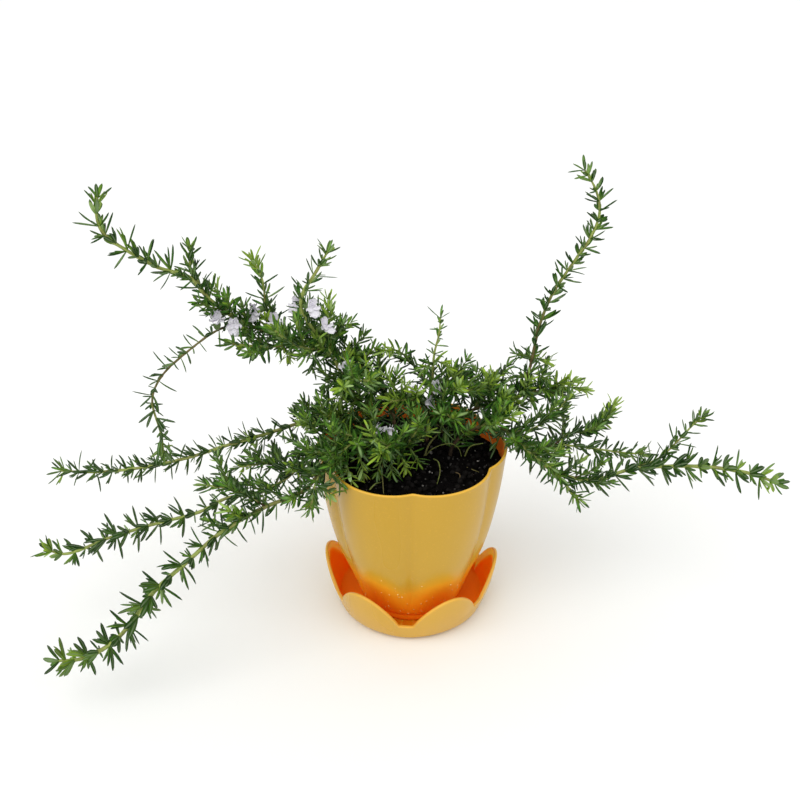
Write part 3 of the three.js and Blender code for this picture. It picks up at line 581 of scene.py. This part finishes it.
STEMS = {
    "stem_upper_left": [
        [2.6, 1.0, 9, 0.54, [-10, 12, 113], [-12, 16, 140], [-20, 25, 168], [-38, 30, 187], [-60, 30, 200],
         [-97, 20, 217], [-119, 10, 232], [-138, 0, 254], [-148, 0, 268], [-167, -5, 277], [-185, -10, 291],
         [-197, -10, 301], [-200, -10, 312], [-199, -5, 324]],
        [1.3, 0.9, 0, 0, [-138, 0, 254], [-148, 4, 274], [-147, 5, 286]],
        [1.3, 0.9, 0, 0, [-97, 20, 217], [-103, 24, 239], [-104, 25, 256], [-109, 25, 270]],
        [1.3, 0.9, 0, 0, [-119, 10, 232], [-134, -2, 230], [-150, -14, 222], [-169, -25, 207],
         [-176, -30, 192], [-172, -35, 168], [-172, -35, 153]],
        [1.3, 1.0, 1, 0.6, [-79, 26, 208], [-100, 2, 216], [-122, -14, 226]],
        [1.3, 1.0, 1, 0.6, [-60, 30, 200], [-68, 52, 214], [-84, 66, 222]],
    ],
    "stem_inner_left": [
        [2.2, 1.0, 4, 0.55, [-24, 20, 113], [-28, 20, 140], [-34, 14, 160], [-47, 10, 184], [-59, 9, 210],
         [-70, 10, 227], [-77, 12, 241], [-75, 14, 252], [-68, 17, 262], [-58, 21, 278]],
        [1.3, 0.9, 1, 0.6, [-47, 10, 184], [-40, -10, 196], [-28, -22, 202]],
        [1.3, 0.9, 1, 0.6, [-59, 9, 210], [-80, -8, 222], [-92, -18, 238]],
    ],
    "stem_mid_left": [
        [2.2, 0.9, 3, 0.2, [-20, 4, 113], [-24, 6, 136], [-42, 12, 150], [-67, 19, 150], [-82, 18, 146],
         [-108, 15, 138], [-137, 10, 131], [-168, 8, 121], [-205, 8, 112], [-239, 10, 107], [-266, 10, 108]],
        [1.2, 0.9, 0, 0, [-67, 19, 150], [-74, 34, 140], [-80, 48, 128]],
        [1.2, 0.9, 1, 0.7, [-42, 12, 150], [-52, 0, 161], [-60, -10, 168]],
    ],
    "stem_lower_left": [
        [2.1, 0.9, 3, 0.36, [-26, -6, 113], [-30, -8, 136], [-48, -14, 150], [-66, -20, 149],
         [-84, -24, 130], [-105, -28, 116], [-133, -30, 111], [-154, -32, 100], [-186, -32, 90],
         [-222, -32, 77], [-258, -32, 62], [-270, -32, 66]],
        [1.2, 0.9, 1, 0.6, [-84, -24, 130], [-106, -8, 126], [-128, 0, 118]],
        [1.2, 0.9, 1, 0.7, [-48, -14, 150], [-62, -10, 160], [-76, -12, 163]],
    ],
    "stem_front_left": [
        [2.1, 0.9, 3, 0.42, [-22, -18, 113], [-26, -22, 136], [-42, -32, 150], [-59, -42, 147],
         [-74, -50, 132], [-100, -60, 125], [-128, -74, 115], [-152, -88, 99], [-172, -98, 84],
         [-188, -108, 65], [-200, -115, 54], [-222, -118, 42], [-238, -118, 40]],
        [1.2, 0.9, 1, 0.6, [-100, -60, 125], [-122, -56, 136], [-140, -56, 140]],
        [1.2, 0.9, 1, 0.7, [-42, -32, 150], [-54, -42, 158], [-66, -46, 160]],
        [1.2, 0.9, 0, 0, [-59, -42, 147], [-66, -56, 141], [-69, -66, 128]],
    ],
    "stem_center": [
        [2.2, 0.9, 1, 0.3, [12, 18, 113], [12, 20, 140], [15, 22, 170], [16, 22, 200], [19, 20, 217],
         [20, 20, 230]],
        [1.3, 0.9, 1, 0.6, [14, 21, 160], [-2, 6, 172], [-16, -8, 178]],
        [1.3, 0.9, 1, 0.6, [13, 20, 150], [22, 0, 164], [30, -18, 170]],
        [1.3, 0.9, 1, 0.6, [15, 22, 172], [28, 32, 172], [40, 42, 170]],
        [1.2, 0.9, 1, 0.7, [15, 22, 168], [30, 14, 176], [46, 8, 178]],
        [1.3, 0.9, 0, 0, [15, 22, 172], [4, 40, 180], [-8, 54, 183]],
    ],
    "stem_front_center": [
        [1.8, 0.9, 1, 0.6, [-6, -6, 113], [-8, -10, 136], [-18, -18, 150], [-34, -26, 158], [-50, -30, 166]],
        [1.2, 0.9, 1, 0.6, [-18, -18, 150], [-16, -34, 158], [-22, -48, 160]],
        [1.2, 0.9, 1, 0.6, [-8, -10, 140], [2, -14, 156], [4, -18, 172]],
        [1.2, 0.9, 1, 0.7, [-34, -26, 158], [-44, -38, 160], [-52, -46, 156]],
    ],
    "stem_tall_right": [
        [2.3, 0.9, 2, 0.24, [24, 14, 113], [28, 18, 138], [46, 26, 152], [66, 31, 155], [80, 31, 160],
         [86, 30, 180], [92, 30, 221], [99, 30, 244], [112, 30, 268], [122, 30, 286], [126, 30, 303],
         [122, 30, 318], [113, 30, 332]],
        [1.3, 0.9, 1, 0.6, [46, 26, 152], [55, 40, 160], [64, 54, 162]],
        [1.3, 0.9, 1, 0.6, [80, 31, 160], [98, 42, 160], [112, 50, 153]],
        [1.3, 0.9, 1, 0.6, [60, 30, 154], [62, 14, 168], [66, 4, 176]],
    ],
    "stem_long_right": [
        [2.4, 0.9, 4, 0.42, [28, 0, 113], [31, 1, 138], [50, 3, 151], [72, 1, 147], [90, -5, 130],
         [106, -10, 120], [133, -10, 113], [161, -5, 119], [192, -5, 122], [222, -10, 124], [250, -15, 121],
         [264, -19, 117]],
        [1.3, 0.9, 0, 0, [161, -5, 119], [183, 0, 126], [196, 5, 137], [207, 9, 149], [213, 10, 155]],
        [1.3, 0.9, 0, 0, [90, -5, 130], [106, 8, 132], [122, 10, 130], [146, 14, 124], [164, 16, 120],
         [176, 17, 119]],
        [1.3, 0.9, 1, 0.6, [72, 1, 147], [88, 2, 150], [104, 10, 158], [115, 13, 171]],
        [1.3, 0.9, 1, 0.6, [106, 8, 132], [120, 22, 134], [134, 24, 136], [144, 26, 141], [149, 27, 147]],
        [1.2, 0.9, 0, 0, [106, -10, 120], [114, -22, 113], [120, -30, 110]],
        [1.2, 0.9, 1, 0.6, [72, 1, 147], [82, -18, 144], [98, -32, 138]],
        [1.2, 0.9, 1, 0.7, [50, 3, 151], [60, -6, 162], [70, -10, 168]],
    ],
}
# In metres, before the scales for each kind
LEAF_LENGTH, LEAF_WIDTH, LEAF_THICK = 0.0142, 0.0024, 0.0010
# Kinds of branch, which pick a value from the tuples below
MAIN, SIDE, SPRIG = 0, 1, 2
START_SLIMNESS, END_SLIMNESS = 0.60, (1.1, 0.8)
SPRIG_RADII = 0.0006, 0.00045
NODE_GAP = (0.0052, 0.0054, 0.0047)
LEAF_SCALE = (1.0, 0.97, 0.82)
WIDTH_SCALE = (1.0, 0.96, 0.92)
# How far each leaf at a shoot's tip leans along it, and how many there are
TIP_LEANS = (0.5, 0.9, 1.4, 2.2, 3.4, 5.0)
TIP_LEAVES = (4, 6, 5)
TIP_REACH = 0.024
SPRIGS_FOR_ONE = (3.1, 3.0)
GOLDEN_ANGLE = 2.4
WOOD = (0.9, 0.35, 0.0)
# Outer part of a main shoot: gap between nodes, small leaves for one large leaf, and how much its leaves are
# wider, its stem thicker, its leaves longer and its far end fresher
OUTER = {
    "stem_upper_left": (0.0076, 3.0, 1.25, 0.82, 1.05, 0.05),
    "stem_inner_left": (0.0066, 1.6, 1.0, 0.9, 1.0, 0.0),
    "stem_mid_left": (0.0062, 2.8, 0.95, 0.95, 1.05, 0.0),
    "stem_lower_left": (0.0090, 3.2, 1.3, 1.15, 1.10, 0.05),
    "stem_front_left": (0.0090, 4.6, 1.55, 1.3, 1.22, 0.10),
    "stem_center": (0.0070, 1.0, 0.75, 0.5, 0.6, 0.0),
    "stem_front_center": (0.0060, 1.6, 0.9, 0.7, 1.0, 0.0),
    "stem_tall_right": (0.0068, 2.3, 1.22, 0.76, 0.85, 0.0),
    "stem_long_right": (0.0086, 4.0, 1.6, 1.4, 1.18, 0.15),
}
# How far along it a stem is brown
BROWN = 0.6
BROWN_FOR = {"stem_tall_right": 0.86}
# The shoot that arches down at the upper left: brown, with few leaves on its underside
DROOPING = ("stem_upper_left", 3)
# Short shoots that fill the middle: where each ends, in millimetres, and a 1 for young leaves
EXTRA_SHOOTS = {
    "stem_front_center": [
        (-34, -40, 139), (-24, -38, 139), (-14, -36, 137), (-5, -30, 137), (4, -22, 137)],
    "stem_front_left": [
        (-42, -46, 137), (-50, -38, 138), (-56, -53, 130), (-69, -44, 143), (-48, -52, 139), (-62, -56, 138),
        (-60, -42, 146), (-70, -58, 128)],
    "stem_lower_left": [
        (-60, -36, 142), (-72, -34, 138), (-78, -38, 132), (-64, -24, 152), (-80, -26, 146)],
    "stem_inner_left": [
        (-62, 4, 186), (-52, -8, 178), (-70, 2, 200), (-44, -4, 166), (-58, 22, 176), (-20, 26, 160),
        (-31, 24, 160)],
    "stem_upper_left": [
        (-46, 12, 186), (-40, 40, 190), (-72, 14, 212), (-30, 12, 176), (-88, 8, 206), (-44, 28, 222),
        (-53, 26, 213), (-35, 32, 210), (-27, 30, 200), (-62, 20, 220), (-40, 20, 200)],
    "stem_long_right": [
        (62, 2, 134), (70, 6, 134), (152, 30, 154, 1)],
    "stem_center": [
        (40, 10, 140), (26, 6, 142), (-20, 24, 202, 1), (25, 14, 194, 1), (8, 14, 192), (32, 22, 183),
        (43, 26, 175), (55, 28, 170), (-5, 4, 184), (33, 38, 165), (38, 36, 166), (46, 40, 163),
        (26, 34, 170), (14, 10, 180), (33, 30, 164), (39, 34, 159), (29, 26, 170), (31, 30, 152),
        (20, 34, 160), (4, 32, 158), (-9, 28, 158)],
    "stem_tall_right": [
        (66, 30, 165), (76, 24, 162), (88, 18, 164), (101, 34, 164), (114, 40, 168, 1), (123, 42, 168, 1),
        (132, 42, 161, 1), (74, 28, 178), (98, 28, 192), (100, 30, 176), (78, 34, 194)],
}


class Branch:
    """Points along a branch, its radii in metres, what it bears and how its leaves vary."""

    def __init__(self, start, end, sprigs, bearing, route, kind, outer):
        self.points = through(route, max(8, int(length_of(route) / 0.0025)))
        self.tangents = unit(np.gradient(self.points, axis=0))
        self.length = length_of(self.points)
        self.start, self.end, self.sprigs, self.bearing, self.kind = start, end, sprigs, bearing, kind
        self.outer, self.youth, self.brown, self.droops = outer, 0, BROWN, False
        self.gap, self.small, self.broad, self.thick, self.long, self.fresh = outer

    def at(self, share):
        k = min(int(share * (len(self.points) - 1)), len(self.points) - 2)
        f = share * (len(self.points) - 1) - k
        return self.points[k] * (1 - f) + self.points[k + 1] * f, self.tangents[k]

    def is_outer(self, share):
        return self.kind == MAIN and share > self.bearing + 0.1


def sprig(route, outer):
    """A short shoot that bears leaves and no shoots of its own."""
    return Branch(*SPRIG_RADII, 0, 0, np.array(route), SPRIG, outer)


def drawn(name):
    """A stem's branches; each side branch starts on the nearest point of those before it."""
    branches = []
    for number, (start, end, sprigs, bearing, *route) in enumerate(STEMS[name]):
        route = np.array(route, float) * MM
        if branches:
            route[0] = nearest(np.vstack([b.points for b in branches]), route[0])
        kind = SIDE if number else MAIN
        start, end = start * START_SLIMNESS * MM, end * END_SLIMNESS[kind] * MM
        branch = Branch(start, end, sprigs, bearing, route, kind, OUTER[name])
        branch.end *= branch.thick if kind == MAIN else 1
        branch.droops = (name, number) == DROOPING
        branch.brown = 1.0 if branch.droops else BROWN_FOR.get(name, BROWN)
        branches.append(branch)
    return branches


def outward_from(tangent, angle):
    reference = np.array([0, 1.0, 0]) if abs(tangent[2]) > 0.95 else UP
    return turn_about(unit(np.cross(tangent, reference)), tangent, angle)


def clears_pot(start, end, room):
    """Whether a straight run stays clear of the pot's wall, the soil and the floor."""
    for f in np.linspace(0, 1, 6):
        x, y, z = start * (1 - f) + end * f
        r = math.hypot(x, y)
        wall = pot_radius(z) * (1 - LOBE_DEPTH / 2)
        if z < POT_TOP + 0.001 and abs(r - wall) < room or z < SOIL_TOP + 0.003 and r < wall or z < 0.002:
            return False
    return True


def sprigs_of(branches):
    """Short side shoots set round each branch by the golden angle, where they clear the pot."""
    found = []
    for number, branch in enumerate(branches):
        count = int(branch.sprigs * SPRIGS_FOR_ONE[branch.kind] + 0.5)
        for i in range(count):
            base, tangent = branch.at(0.10 + branch.bearing * (i + 0.5) / count)
            heading = 0.8 * outward_from(tangent, i * GOLDEN_ANGLE + number) + 0.9 * tangent + 0.3 * UP
            heading = unit(np.array([heading[0], heading[1], max(heading[2], -0.1)]))
            length = 0.011 + 0.014 * vary(i, number, 7)
            route = [base, base + heading * length * 0.35, base + heading * length * 0.7 + UP * length * 0.06,
                     base + heading * length + UP * length * 0.2]
            if clears_pot(route[0], route[2], 0.004) and clears_pot(route[2], route[3], 0.004):
                found.append(sprig(route, branch.outer))
    return found


def extra_shoots(name, branches):
    """Shoots from the nearest branch to each given end, which rise a little before they lean out."""
    found = []
    every = np.vstack([b.points[b.points[:, 2] > SOIL_TOP + 0.012] for b in branches])
    for x, y, z, *young in EXTRA_SHOOTS.get(name, []):
        end = np.array([x, y, z]) * MM
        start = nearest(every, end)
        rise = UP * np.linalg.norm(end - start)
        route = [start, start * 0.65 + end * 0.35 + rise * 0.14, start * 0.3 + end * 0.7 + rise * 0.12, end]
        found.append(sprig(route, OUTER[name]))
        found[-1].youth = sum(young)
    return found


# One leaf: rolled-under margins, a groove along its middle, a blunt tip; x across, y along, z up
SECTION = np.array([(-1, -0.3), (-0.6, 0.33), (0, 0.16), (0.6, 0.33), (1, -0.3),
                    (0.55, -0.45), (0, -0.2), (-0.55, -0.45)])
STATIONS = np.array([(0.0, 0.45), (0.1, 0.62), (0.35, 0.92), (0.66, 1.0), (0.88, 0.75), (1.0, 0.2)])
# Nearness to the margin of each corner of the section, where the underside's corners also take painted shade;
# 2 is the pale line beneath
TO_SIDE = np.array([0.8, 0.35, 0, 0.35, 0.8, 0.8, 2.0, 0.8])


def add_leaves(build, leaves):
    """leaves: rows of base, direction, ridge, length, width, bend, sway, age, chance."""
    base, direction, ridge = (np.array([leaf[k] for leaf in leaves])[:, None, None, :] for k in range(3))
    length, width, bend, sway, age, chance = np.array([leaf[3:] for leaf in leaves]).T[:, :, None, None]
    across = unit(np.cross(direction, ridge))
    y, wide = STATIONS[None, :, 0, None], STATIONS[None, :, 1, None]
    x = SECTION[None, None, :, 0] * wide * width / 2 + sway * length * y**2
    z = SECTION[None, None, :, 1] * wide * LEAF_THICK * width / LEAF_WIDTH + bend * length * y**2
    points = base + across * x[..., None] + direction * (y * length)[..., None] + ridge * z[..., None]
    count, rings, around = points.shape[:3]
    corner = np.arange(rings * around).reshape(rings, around)
    after = np.roll(corner, -1, 1)
    quads = np.stack([corner[:-1], after[:-1], after[1:], corner[1:]], -1).reshape(-1, 4)
    firsts = np.arange(count) * rings * around
    look = np.stack(np.broadcast_arrays(age, chance, y, TO_SIDE[None, None]), -1).reshape(-1, 4)
    tips = build.count + firsts[:, None] + corner[-1]
    build.add(points, (quads[None] + firsts[:, None, None]).reshape(-1, 4), look)
    build.faces.extend(map(tuple, tips.tolist()))
    build.mats.extend([0] * count)


def node_shares(branch):
    """Where leaves stand along a branch: closer on its leafy part, and closest at its tip."""
    first, least = (0.08, 0.75) if branch.kind == MAIN else (0.1, 0.55)
    along = branch.length * first
    while along < branch.length - 0.0015:
        share = along / branch.length
        yield share
        gap = NODE_GAP[branch.kind]
        if branch.is_outer(share):
            gap = branch.gap * (0.85 + 0.3 * vary(along * 1000, 5))
        along += gap * (least + (1 - least) * smoothstep(0.004, TIP_REACH, branch.length - along))


def leaf_on(branch, base, radius, outward, tangent, lean, sideways, length, width, age):
    """One row for add_leaves, or none where the leaf would meet the pot or is left out."""
    direction = unit(outward + lean * tangent + sideways * np.cross(tangent, outward) + 0.2 * UP)
    ridge = unit(np.cross(np.cross(direction, tangent - outward * 0.6), direction))
    root = base + unit(outward) * radius * 0.6
    if not clears_pot(root + direction * 0.003, root + direction * length, 0.0015):
        return []
    bend, sway = 0.4 * (rng.random() - 0.45), 0.3 * (rng.random() - 0.5)
    chance = rng.random()
    if branch.droops and outward[2] < -0.2 and chance < 0.7:
        return []
    return [(root, direction, ridge, length, width, bend, sway, float(np.clip(age, 0, 1)), chance)]


def leaves_of(branch, seed):
    """Opposite pairs, each a quarter turn from the last, with tufts of small leaves in their axils."""
    rows = []
    main = branch.kind == MAIN
    full_length = LEAF_LENGTH * LEAF_SCALE[branch.kind]
    full_width = LEAF_WIDTH * WIDTH_SCALE[branch.kind]
    youth = branch.youth or (0.05 if main or vary(seed, 3) < 0.72 else 0.45)
    for i, share in enumerate(node_shares(branch)):
        base, tangent = branch.at(share)
        if base[2] < SOIL_TOP + 0.006 and math.hypot(base[0], base[1]) < POT_R:
            continue
        tip = smoothstep(1 - TIP_REACH / branch.length, 1.0, share)
        far = smoothstep(0.3, 0.8, share) if main else 0.0
        radius = branch.start + (branch.end - branch.start) * share
        swing = vary(i, seed) * 0.9
        broad = 1 + (branch.broad - 1) * (far if main else 0.25)
        for turn in (0, math.pi):
            angle = turn + (i % 2) * math.pi / 2 + swing
            outward = outward_from(tangent, angle)
            length = full_length * (0.72 + 0.44 * rng.random()) * (1 - 0.2 * tip)
            length *= 1 + (branch.long - 1) * far
            width = full_width * (0.75 + 0.45 * rng.random()) * broad
            lean = 0.05 + (0.5 if branch.kind == SIDE else 0.7) * rng.random() + 0.5 * tip - 0.2 * far
            age = 0.03 + 0.35 * rng.random() + (0.35 + youth) * tip + 0.12 * far + 0.25 * (youth > 0.8)
            age += branch.fresh * smoothstep(0.6, 0.95, share) if main else 0.08
            sideways = 0.5 * (rng.random() - 0.5)
            rows += leaf_on(branch, base, radius, outward, tangent, lean, sideways, length, width, age)
            if branch.kind == SPRIG:
                small = int(1.8 * rng.random())
            else:
                small = int((branch.small if branch.is_outer(share) else 1.2) + 1.6 * rng.random())
            for _ in range(small):
                part = 0.36 + 0.48 * rng.random() + 0.12 * far
                around = outward_from(tangent, angle + 1.5 * (rng.random() - 0.5))
                start = base + tangent * 0.0012 * (rng.random() - 0.2)
                small_lean = (1 - 0.35 * far) * (0.4 + 1.5 * rng.random())
                sideways = 0.8 * (rng.random() - 0.5)
                small_width = width * (0.7 + 0.35 * part - 0.06 * far)
                small_age = age + 0.12 + 0.25 * rng.random()
                rows += leaf_on(branch, start, radius, around, tangent, small_lean, sideways, length * part,
                                small_width, small_age)
    base, tangent = branch.at(0.999)
    width = LEAF_WIDTH * 0.85 * (branch.broad if main else 0.9)
    for k, lean in enumerate(TIP_LEANS[:TIP_LEAVES[branch.kind]]):
        outward = outward_from(tangent, k * GOLDEN_ANGLE + seed + 1.2 * rng.random())
        length = full_length * (0.74 - 0.06 * k + 0.2 * rng.random())
        sideways = 0.3 * (rng.random() - 0.5)
        rows += leaf_on(branch, base, branch.end, outward, tangent, lean, sideways, length, width,
                        0.45 + youth + 0.08 * k)
    return rows


def add_stem(build, branch):
    """A squarish young stem that grows round and knotty with age."""
    around, count = 8, len(branch.points)
    share = np.linspace(0, 1, count)
    side = outward_from(branch.tangents[0], 0.0)
    frames = []
    for tangent in branch.tangents:
        side = unit(side - tangent * (side @ tangent))
        frames.append((side, np.cross(tangent, side)))
    angle = full_turn(around)
    most_wood = 0.8 if branch.droops else WOOD[branch.kind]
    wood = most_wood * (1 - smoothstep(branch.brown - 0.45, branch.brown, share))
    near_soil = 1 - smoothstep(SOIL_TOP + 0.006, SOIL_TOP + 0.026, branch.points[:, 2])
    wood = wood + 0.9 * near_soil * (share < 0.15)
    radius = (branch.start + (branch.end - branch.start) * share) * (1 - 0.35 * smoothstep(0.92, 1, share))
    knot = 1 + 0.16 * np.maximum(0, np.cos(share * branch.length / branch.gap * 2 * math.pi)) ** 4
    lump = 1 + wood[:, None] * 0.25 * (rng.random((count, around)) - 0.5)
    square = 1 + 0.12 * (1 - wood[:, None]) * np.cos(4 * angle)[None]
    reach = radius[:, None] * knot[:, None] * lump * square
    u, v = (np.array([f[k] for f in frames]) for k in (0, 1))
    points = branch.points[:, None] + reach[..., None] * (
        np.cos(angle)[None, :, None] * u[:, None] + np.sin(angle)[None, :, None] * v[:, None])
    look = np.zeros((count, around, 4))
    look[..., 0] = wood[:, None]
    look[..., 1] = rng.random()
    look[..., 2] = 1.0 if branch.kind == SPRIG else 0.0
    build.grid(points, look, 1)


def make_stem(name, seed):
    branches = drawn(name)
    branches += sprigs_of(branches) + extra_shoots(name, branches)
    build = Builder()
    rows = []
    for k, branch in enumerate(branches):
        add_stem(build, branch)
        rows += leaves_of(branch, seed + k)
    add_leaves(build, rows)
    stem = build.make(name + "_leafy", [LEAF_LOOK, STEM_LOOK])
    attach(stem, "root")
    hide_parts(name)


# ---- flowers
# In shares of the flower's size. Calyx and tube: distance along the flower, and radius
CALYX = ((0, 0.05), (0.12, 0.15), (0.3, 0.19), (0.45, 0.17))
TUBE = ((0.3, 0.10), (0.5, 0.11), (0.7, 0.17))
# How far each petal leans up and sideways, its length and its width
PETALS = ((0.9, 0.28, 0.50, 0.40), (0.9, -0.28, 0.50, 0.40), (-0.55, 0.0, 0.62, 0.62),
          (-0.25, 0.95, 0.44, 0.36), (-0.25, -0.95, 0.44, 0.36))
PETAL_CUP, PETAL_CURL = 0.25, 0.18
# Metres
SIZE_AT_LEFT, SIZE_ELSEWHERE = 0.0138, 0.0110
PETAL_THICK, STAMEN_RADIUS = 0.00018, 0.00012
# Each flower's stem, branch number, share of the branch's length, and which way it faces
FLOWERS = [
    ('stem_upper_left', 3, 0.15, (-0.2, -0.7, 0.7)), ('stem_upper_left', 0, 0.6, (0.2, -0.9, -0.2)),
    ('stem_upper_left', 2, 0.38, (-0.6, -0.7, 0.2)), ('stem_upper_left', 2, 0.14, (0.2, -0.9, 0.4)),
    ('stem_upper_left', 5, 0.9, (-0.5, -0.8, 0.3)), ('stem_inner_left', 0, 0.77, (0.6, -0.8, -0.2)),
    ('stem_inner_left', 0, 0.66, (0.9, -0.5, 0.2)), ('stem_inner_left', 1, 0.4, (0.1, -0.5, 0.8)),
    ('stem_center', 1, 0.65, (0.1, -0.4, 0.9)), ('stem_center', 1, 0.3, (0.3, -0.8, 0.5)),
    ('stem_center', 0, 0.54, (0.2, -0.9, 0.4)), ('stem_front_center', 0, 0.68, (-0.1, -0.2, 1)),
    ('stem_front_center', 1, 0.35, (0.2, 0.1, 1)), ('stem_tall_right', 3, 0.25, (-0.1, -0.8, 0.5)),
]


def seat_of(stem, number, share, facing):
    base, tangent = drawn(stem)[number].at(share)
    axis = unit(np.array(facing) - tangent * (tangent @ np.array(facing)))
    return base + axis * 0.0015


FLOWER_SEATS = [seat_of(*flower) for flower in FLOWERS]


def add_petal(build, base, axis, side, length, width):
    """A thin cupped petal from base along axis, curling towards -normal at its end."""
    normal = unit(np.cross(axis, side))
    v = np.linspace(0, 1, 7)[:, None]
    u = np.linspace(-1, 1, 7)[None]
    swell = np.sin(math.pi * np.clip(v * 0.85 + 0.12, 0, 1))
    wide = width / 2 * (0.35 + 0.65 * swell) * (1 - 0.12 * (v > 0.9))
    z = PETAL_CUP * width * (u**2) * v - PETAL_CURL * length * v**2 + 0.02 * length * np.sin(9 * v + 5 * u)
    top = base + axis * (v * length)[..., None] + side * (u * wide)[..., None] + normal * z[..., None]
    back = top - normal * PETAL_THICK
    build.grid(np.concatenate([top, back[:, ::-1]], 1))


def make_flower(node, number):
    low, high = np.array(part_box(node))
    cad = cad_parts[node]
    root = nearest(np.array([cad.matrix_world @ v.co for v in cad.data.vertices]), FLOWER_SEATS[number])
    axis = unit((low + high) / 2 - root)
    side = unit(np.cross(axis, UP))
    lift = unit(np.cross(side, axis))
    size = SIZE_AT_LEFT if "left" in FLOWERS[number][0] else SIZE_ELSEWHERE
    angle = full_turn(10)
    build = Builder()
    for rings, green in ((CALYX, 1), (TUBE, 0)):
        tube = [ring_round(root + axis * (size * along), size * radius, angle, side, lift)
                for along, radius in rings]
        build.grid(np.stack(tube), (green, 0, 0, 0))
    mouth = root + axis * size * 0.66
    for lean, spread, long, wide in PETALS:
        way = unit(axis * 0.45 + lift * lean + side * spread)
        across = unit(np.cross(way, np.cross(side, way)) + side)
        across = unit(across - way * (across @ way))
        add_petal(build, mouth, way, across, size * long, size * wide)
    for s in (-1, 1):
        bend = mouth + axis * size * 0.25 + lift * size * 0.3 + side * s * size * 0.06
        end = mouth + axis * size * 0.5 + lift * size * 0.25 + side * s * size * 0.1
        run = through([mouth, bend, end], 6)
        stamen = [ring_round(p, STAMEN_RADIUS, angle[::2], side, lift) for p in run]
        build.grid(np.stack(stamen))
    flower = build.make(node + "_bloom", [PETAL_LOOK])
    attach(flower, "root")
    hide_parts(node)


# ---- water drops

DROPS = 70
DROP_SAG = -0.35


def make_drops():
    """Flattened drops on the front of the lower pot."""
    build = Builder()
    for _ in range(DROPS):
        angle = (rng.random() - 0.5) * 2.6
        z = 0.012 + 0.045 * rng.random() ** 1.6
        radius = float(lobed(angle, pot_radius(z), z))
        out = np.array([math.sin(angle), -math.cos(angle), DROP_SAG])
        size = 0.0003 + 0.0006 * rng.random() ** 2
        ball = globe(6, 10, 0.1) * size
        ball -= out * (ball @ out)[..., None] * 0.4
        build.grid(np.array([radius * math.sin(angle), -radius * math.cos(angle), z]) + ball)
    drops = build.make("water_drops", [WATER_LOOK])
    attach(drops, "root")


# ---- stage, lights and camera

FLOOR_REACH, FLOOR_DROP = 14.0, 0.0002
FLOOR_TINTS = (0.945, 0.95, 0.945), (0.965, 0.97, 0.965)
WORLD_COLOUR, WORLD_STRENGTH = (1.0, 1.0, 0.985, 1), 0.845
SUN_FROM, SUN_POWER, SUN_SPREAD = Vector((-0.7, -0.9, 1.7)), 0.86, math.radians(50)
FILL_TARGET, FILL_SIZE, FILL_POWER = Vector((0, 0, 0.1)), (0.9, 1.4), 3
CAMERA_TARGET, CAMERA_DISTANCE, CAMERA_ELEVATION = Vector((-0.0086, 0, 0.175)), 0.65, math.radians(29.0)
SENSOR_MM, FOCAL_PIXELS, PICTURE_PIXELS = 36.0, 911, 800


def make_stage():
    build = Builder()
    corners = [(-1, -1, 0), (1, -1, 0), (1, 1, 0), (-1, 1, 0)]
    build.add(np.array(corners) * FLOOR_REACH, [(0, 1, 2, 3)])
    n = Nodes("floor")
    n.set(Base_Color=n.mix(n.noise(3, 2, 0.5), *FLOOR_TINTS), Roughness=0.9)
    floor = build.make("floor", [n.material])
    floor.location.z = -FLOOR_DROP
    world = bpy.data.worlds.new("studio")
    bpy.context.scene.world = world
    world.use_nodes = True
    world.node_tree.nodes["Background"].inputs["Color"].default_value = WORLD_COLOUR
    world.node_tree.nodes["Background"].inputs["Strength"].default_value = WORLD_STRENGTH


def add_light(name, kind, place, from_target, power):
    """A light at a place, where from_target points towards it from what it lights."""
    lamp = bpy.data.lights.new(name, kind)
    lamp.energy = power
    obj = bpy.data.objects.new(name, lamp)
    obj.location = place
    obj.rotation_euler = from_target.to_track_quat("Z", "Y").to_euler()
    bpy.context.scene.collection.objects.link(obj)
    return lamp


def make_lights():
    sun = add_light("soft_key", "SUN", SUN_FROM, SUN_FROM, SUN_POWER)
    sun.angle = SUN_SPREAD
    for name, side in (("left_fill", -1), ("right_fill", 1)):
        place = Vector((side * 1.3, -0.9, 0.9))
        lamp = add_light(name, "AREA", place, place - FILL_TARGET, FILL_POWER)
        lamp.shape = "RECTANGLE"
        lamp.size, lamp.size_y = FILL_SIZE


def make_camera():
    camera = bpy.data.objects.new("camera", bpy.data.cameras.new("camera"))
    camera.data.sensor_width = SENSOR_MM
    camera.data.lens = SENSOR_MM * FOCAL_PIXELS / PICTURE_PIXELS
    camera.data.clip_start = 0.02
    back = Vector((0, -math.cos(CAMERA_ELEVATION), math.sin(CAMERA_ELEVATION)))
    camera.location = CAMERA_TARGET + back * CAMERA_DISTANCE
    camera.rotation_euler = (math.pi / 2 - CAMERA_ELEVATION, 0, 0)
    bpy.context.scene.collection.objects.link(camera)
    bpy.context.scene.camera = camera


make_pot()
make_saucer()
make_soil()
for k, name in enumerate(STEMS):
    make_stem(name, 10 * k)
for number in range(len(FLOWERS)):
    make_flower(f"flower_{number + 1}", number)
make_drops()
make_stage()
make_lights()
make_camera()
bpy.context.scene.view_settings.view_transform = "Standard"
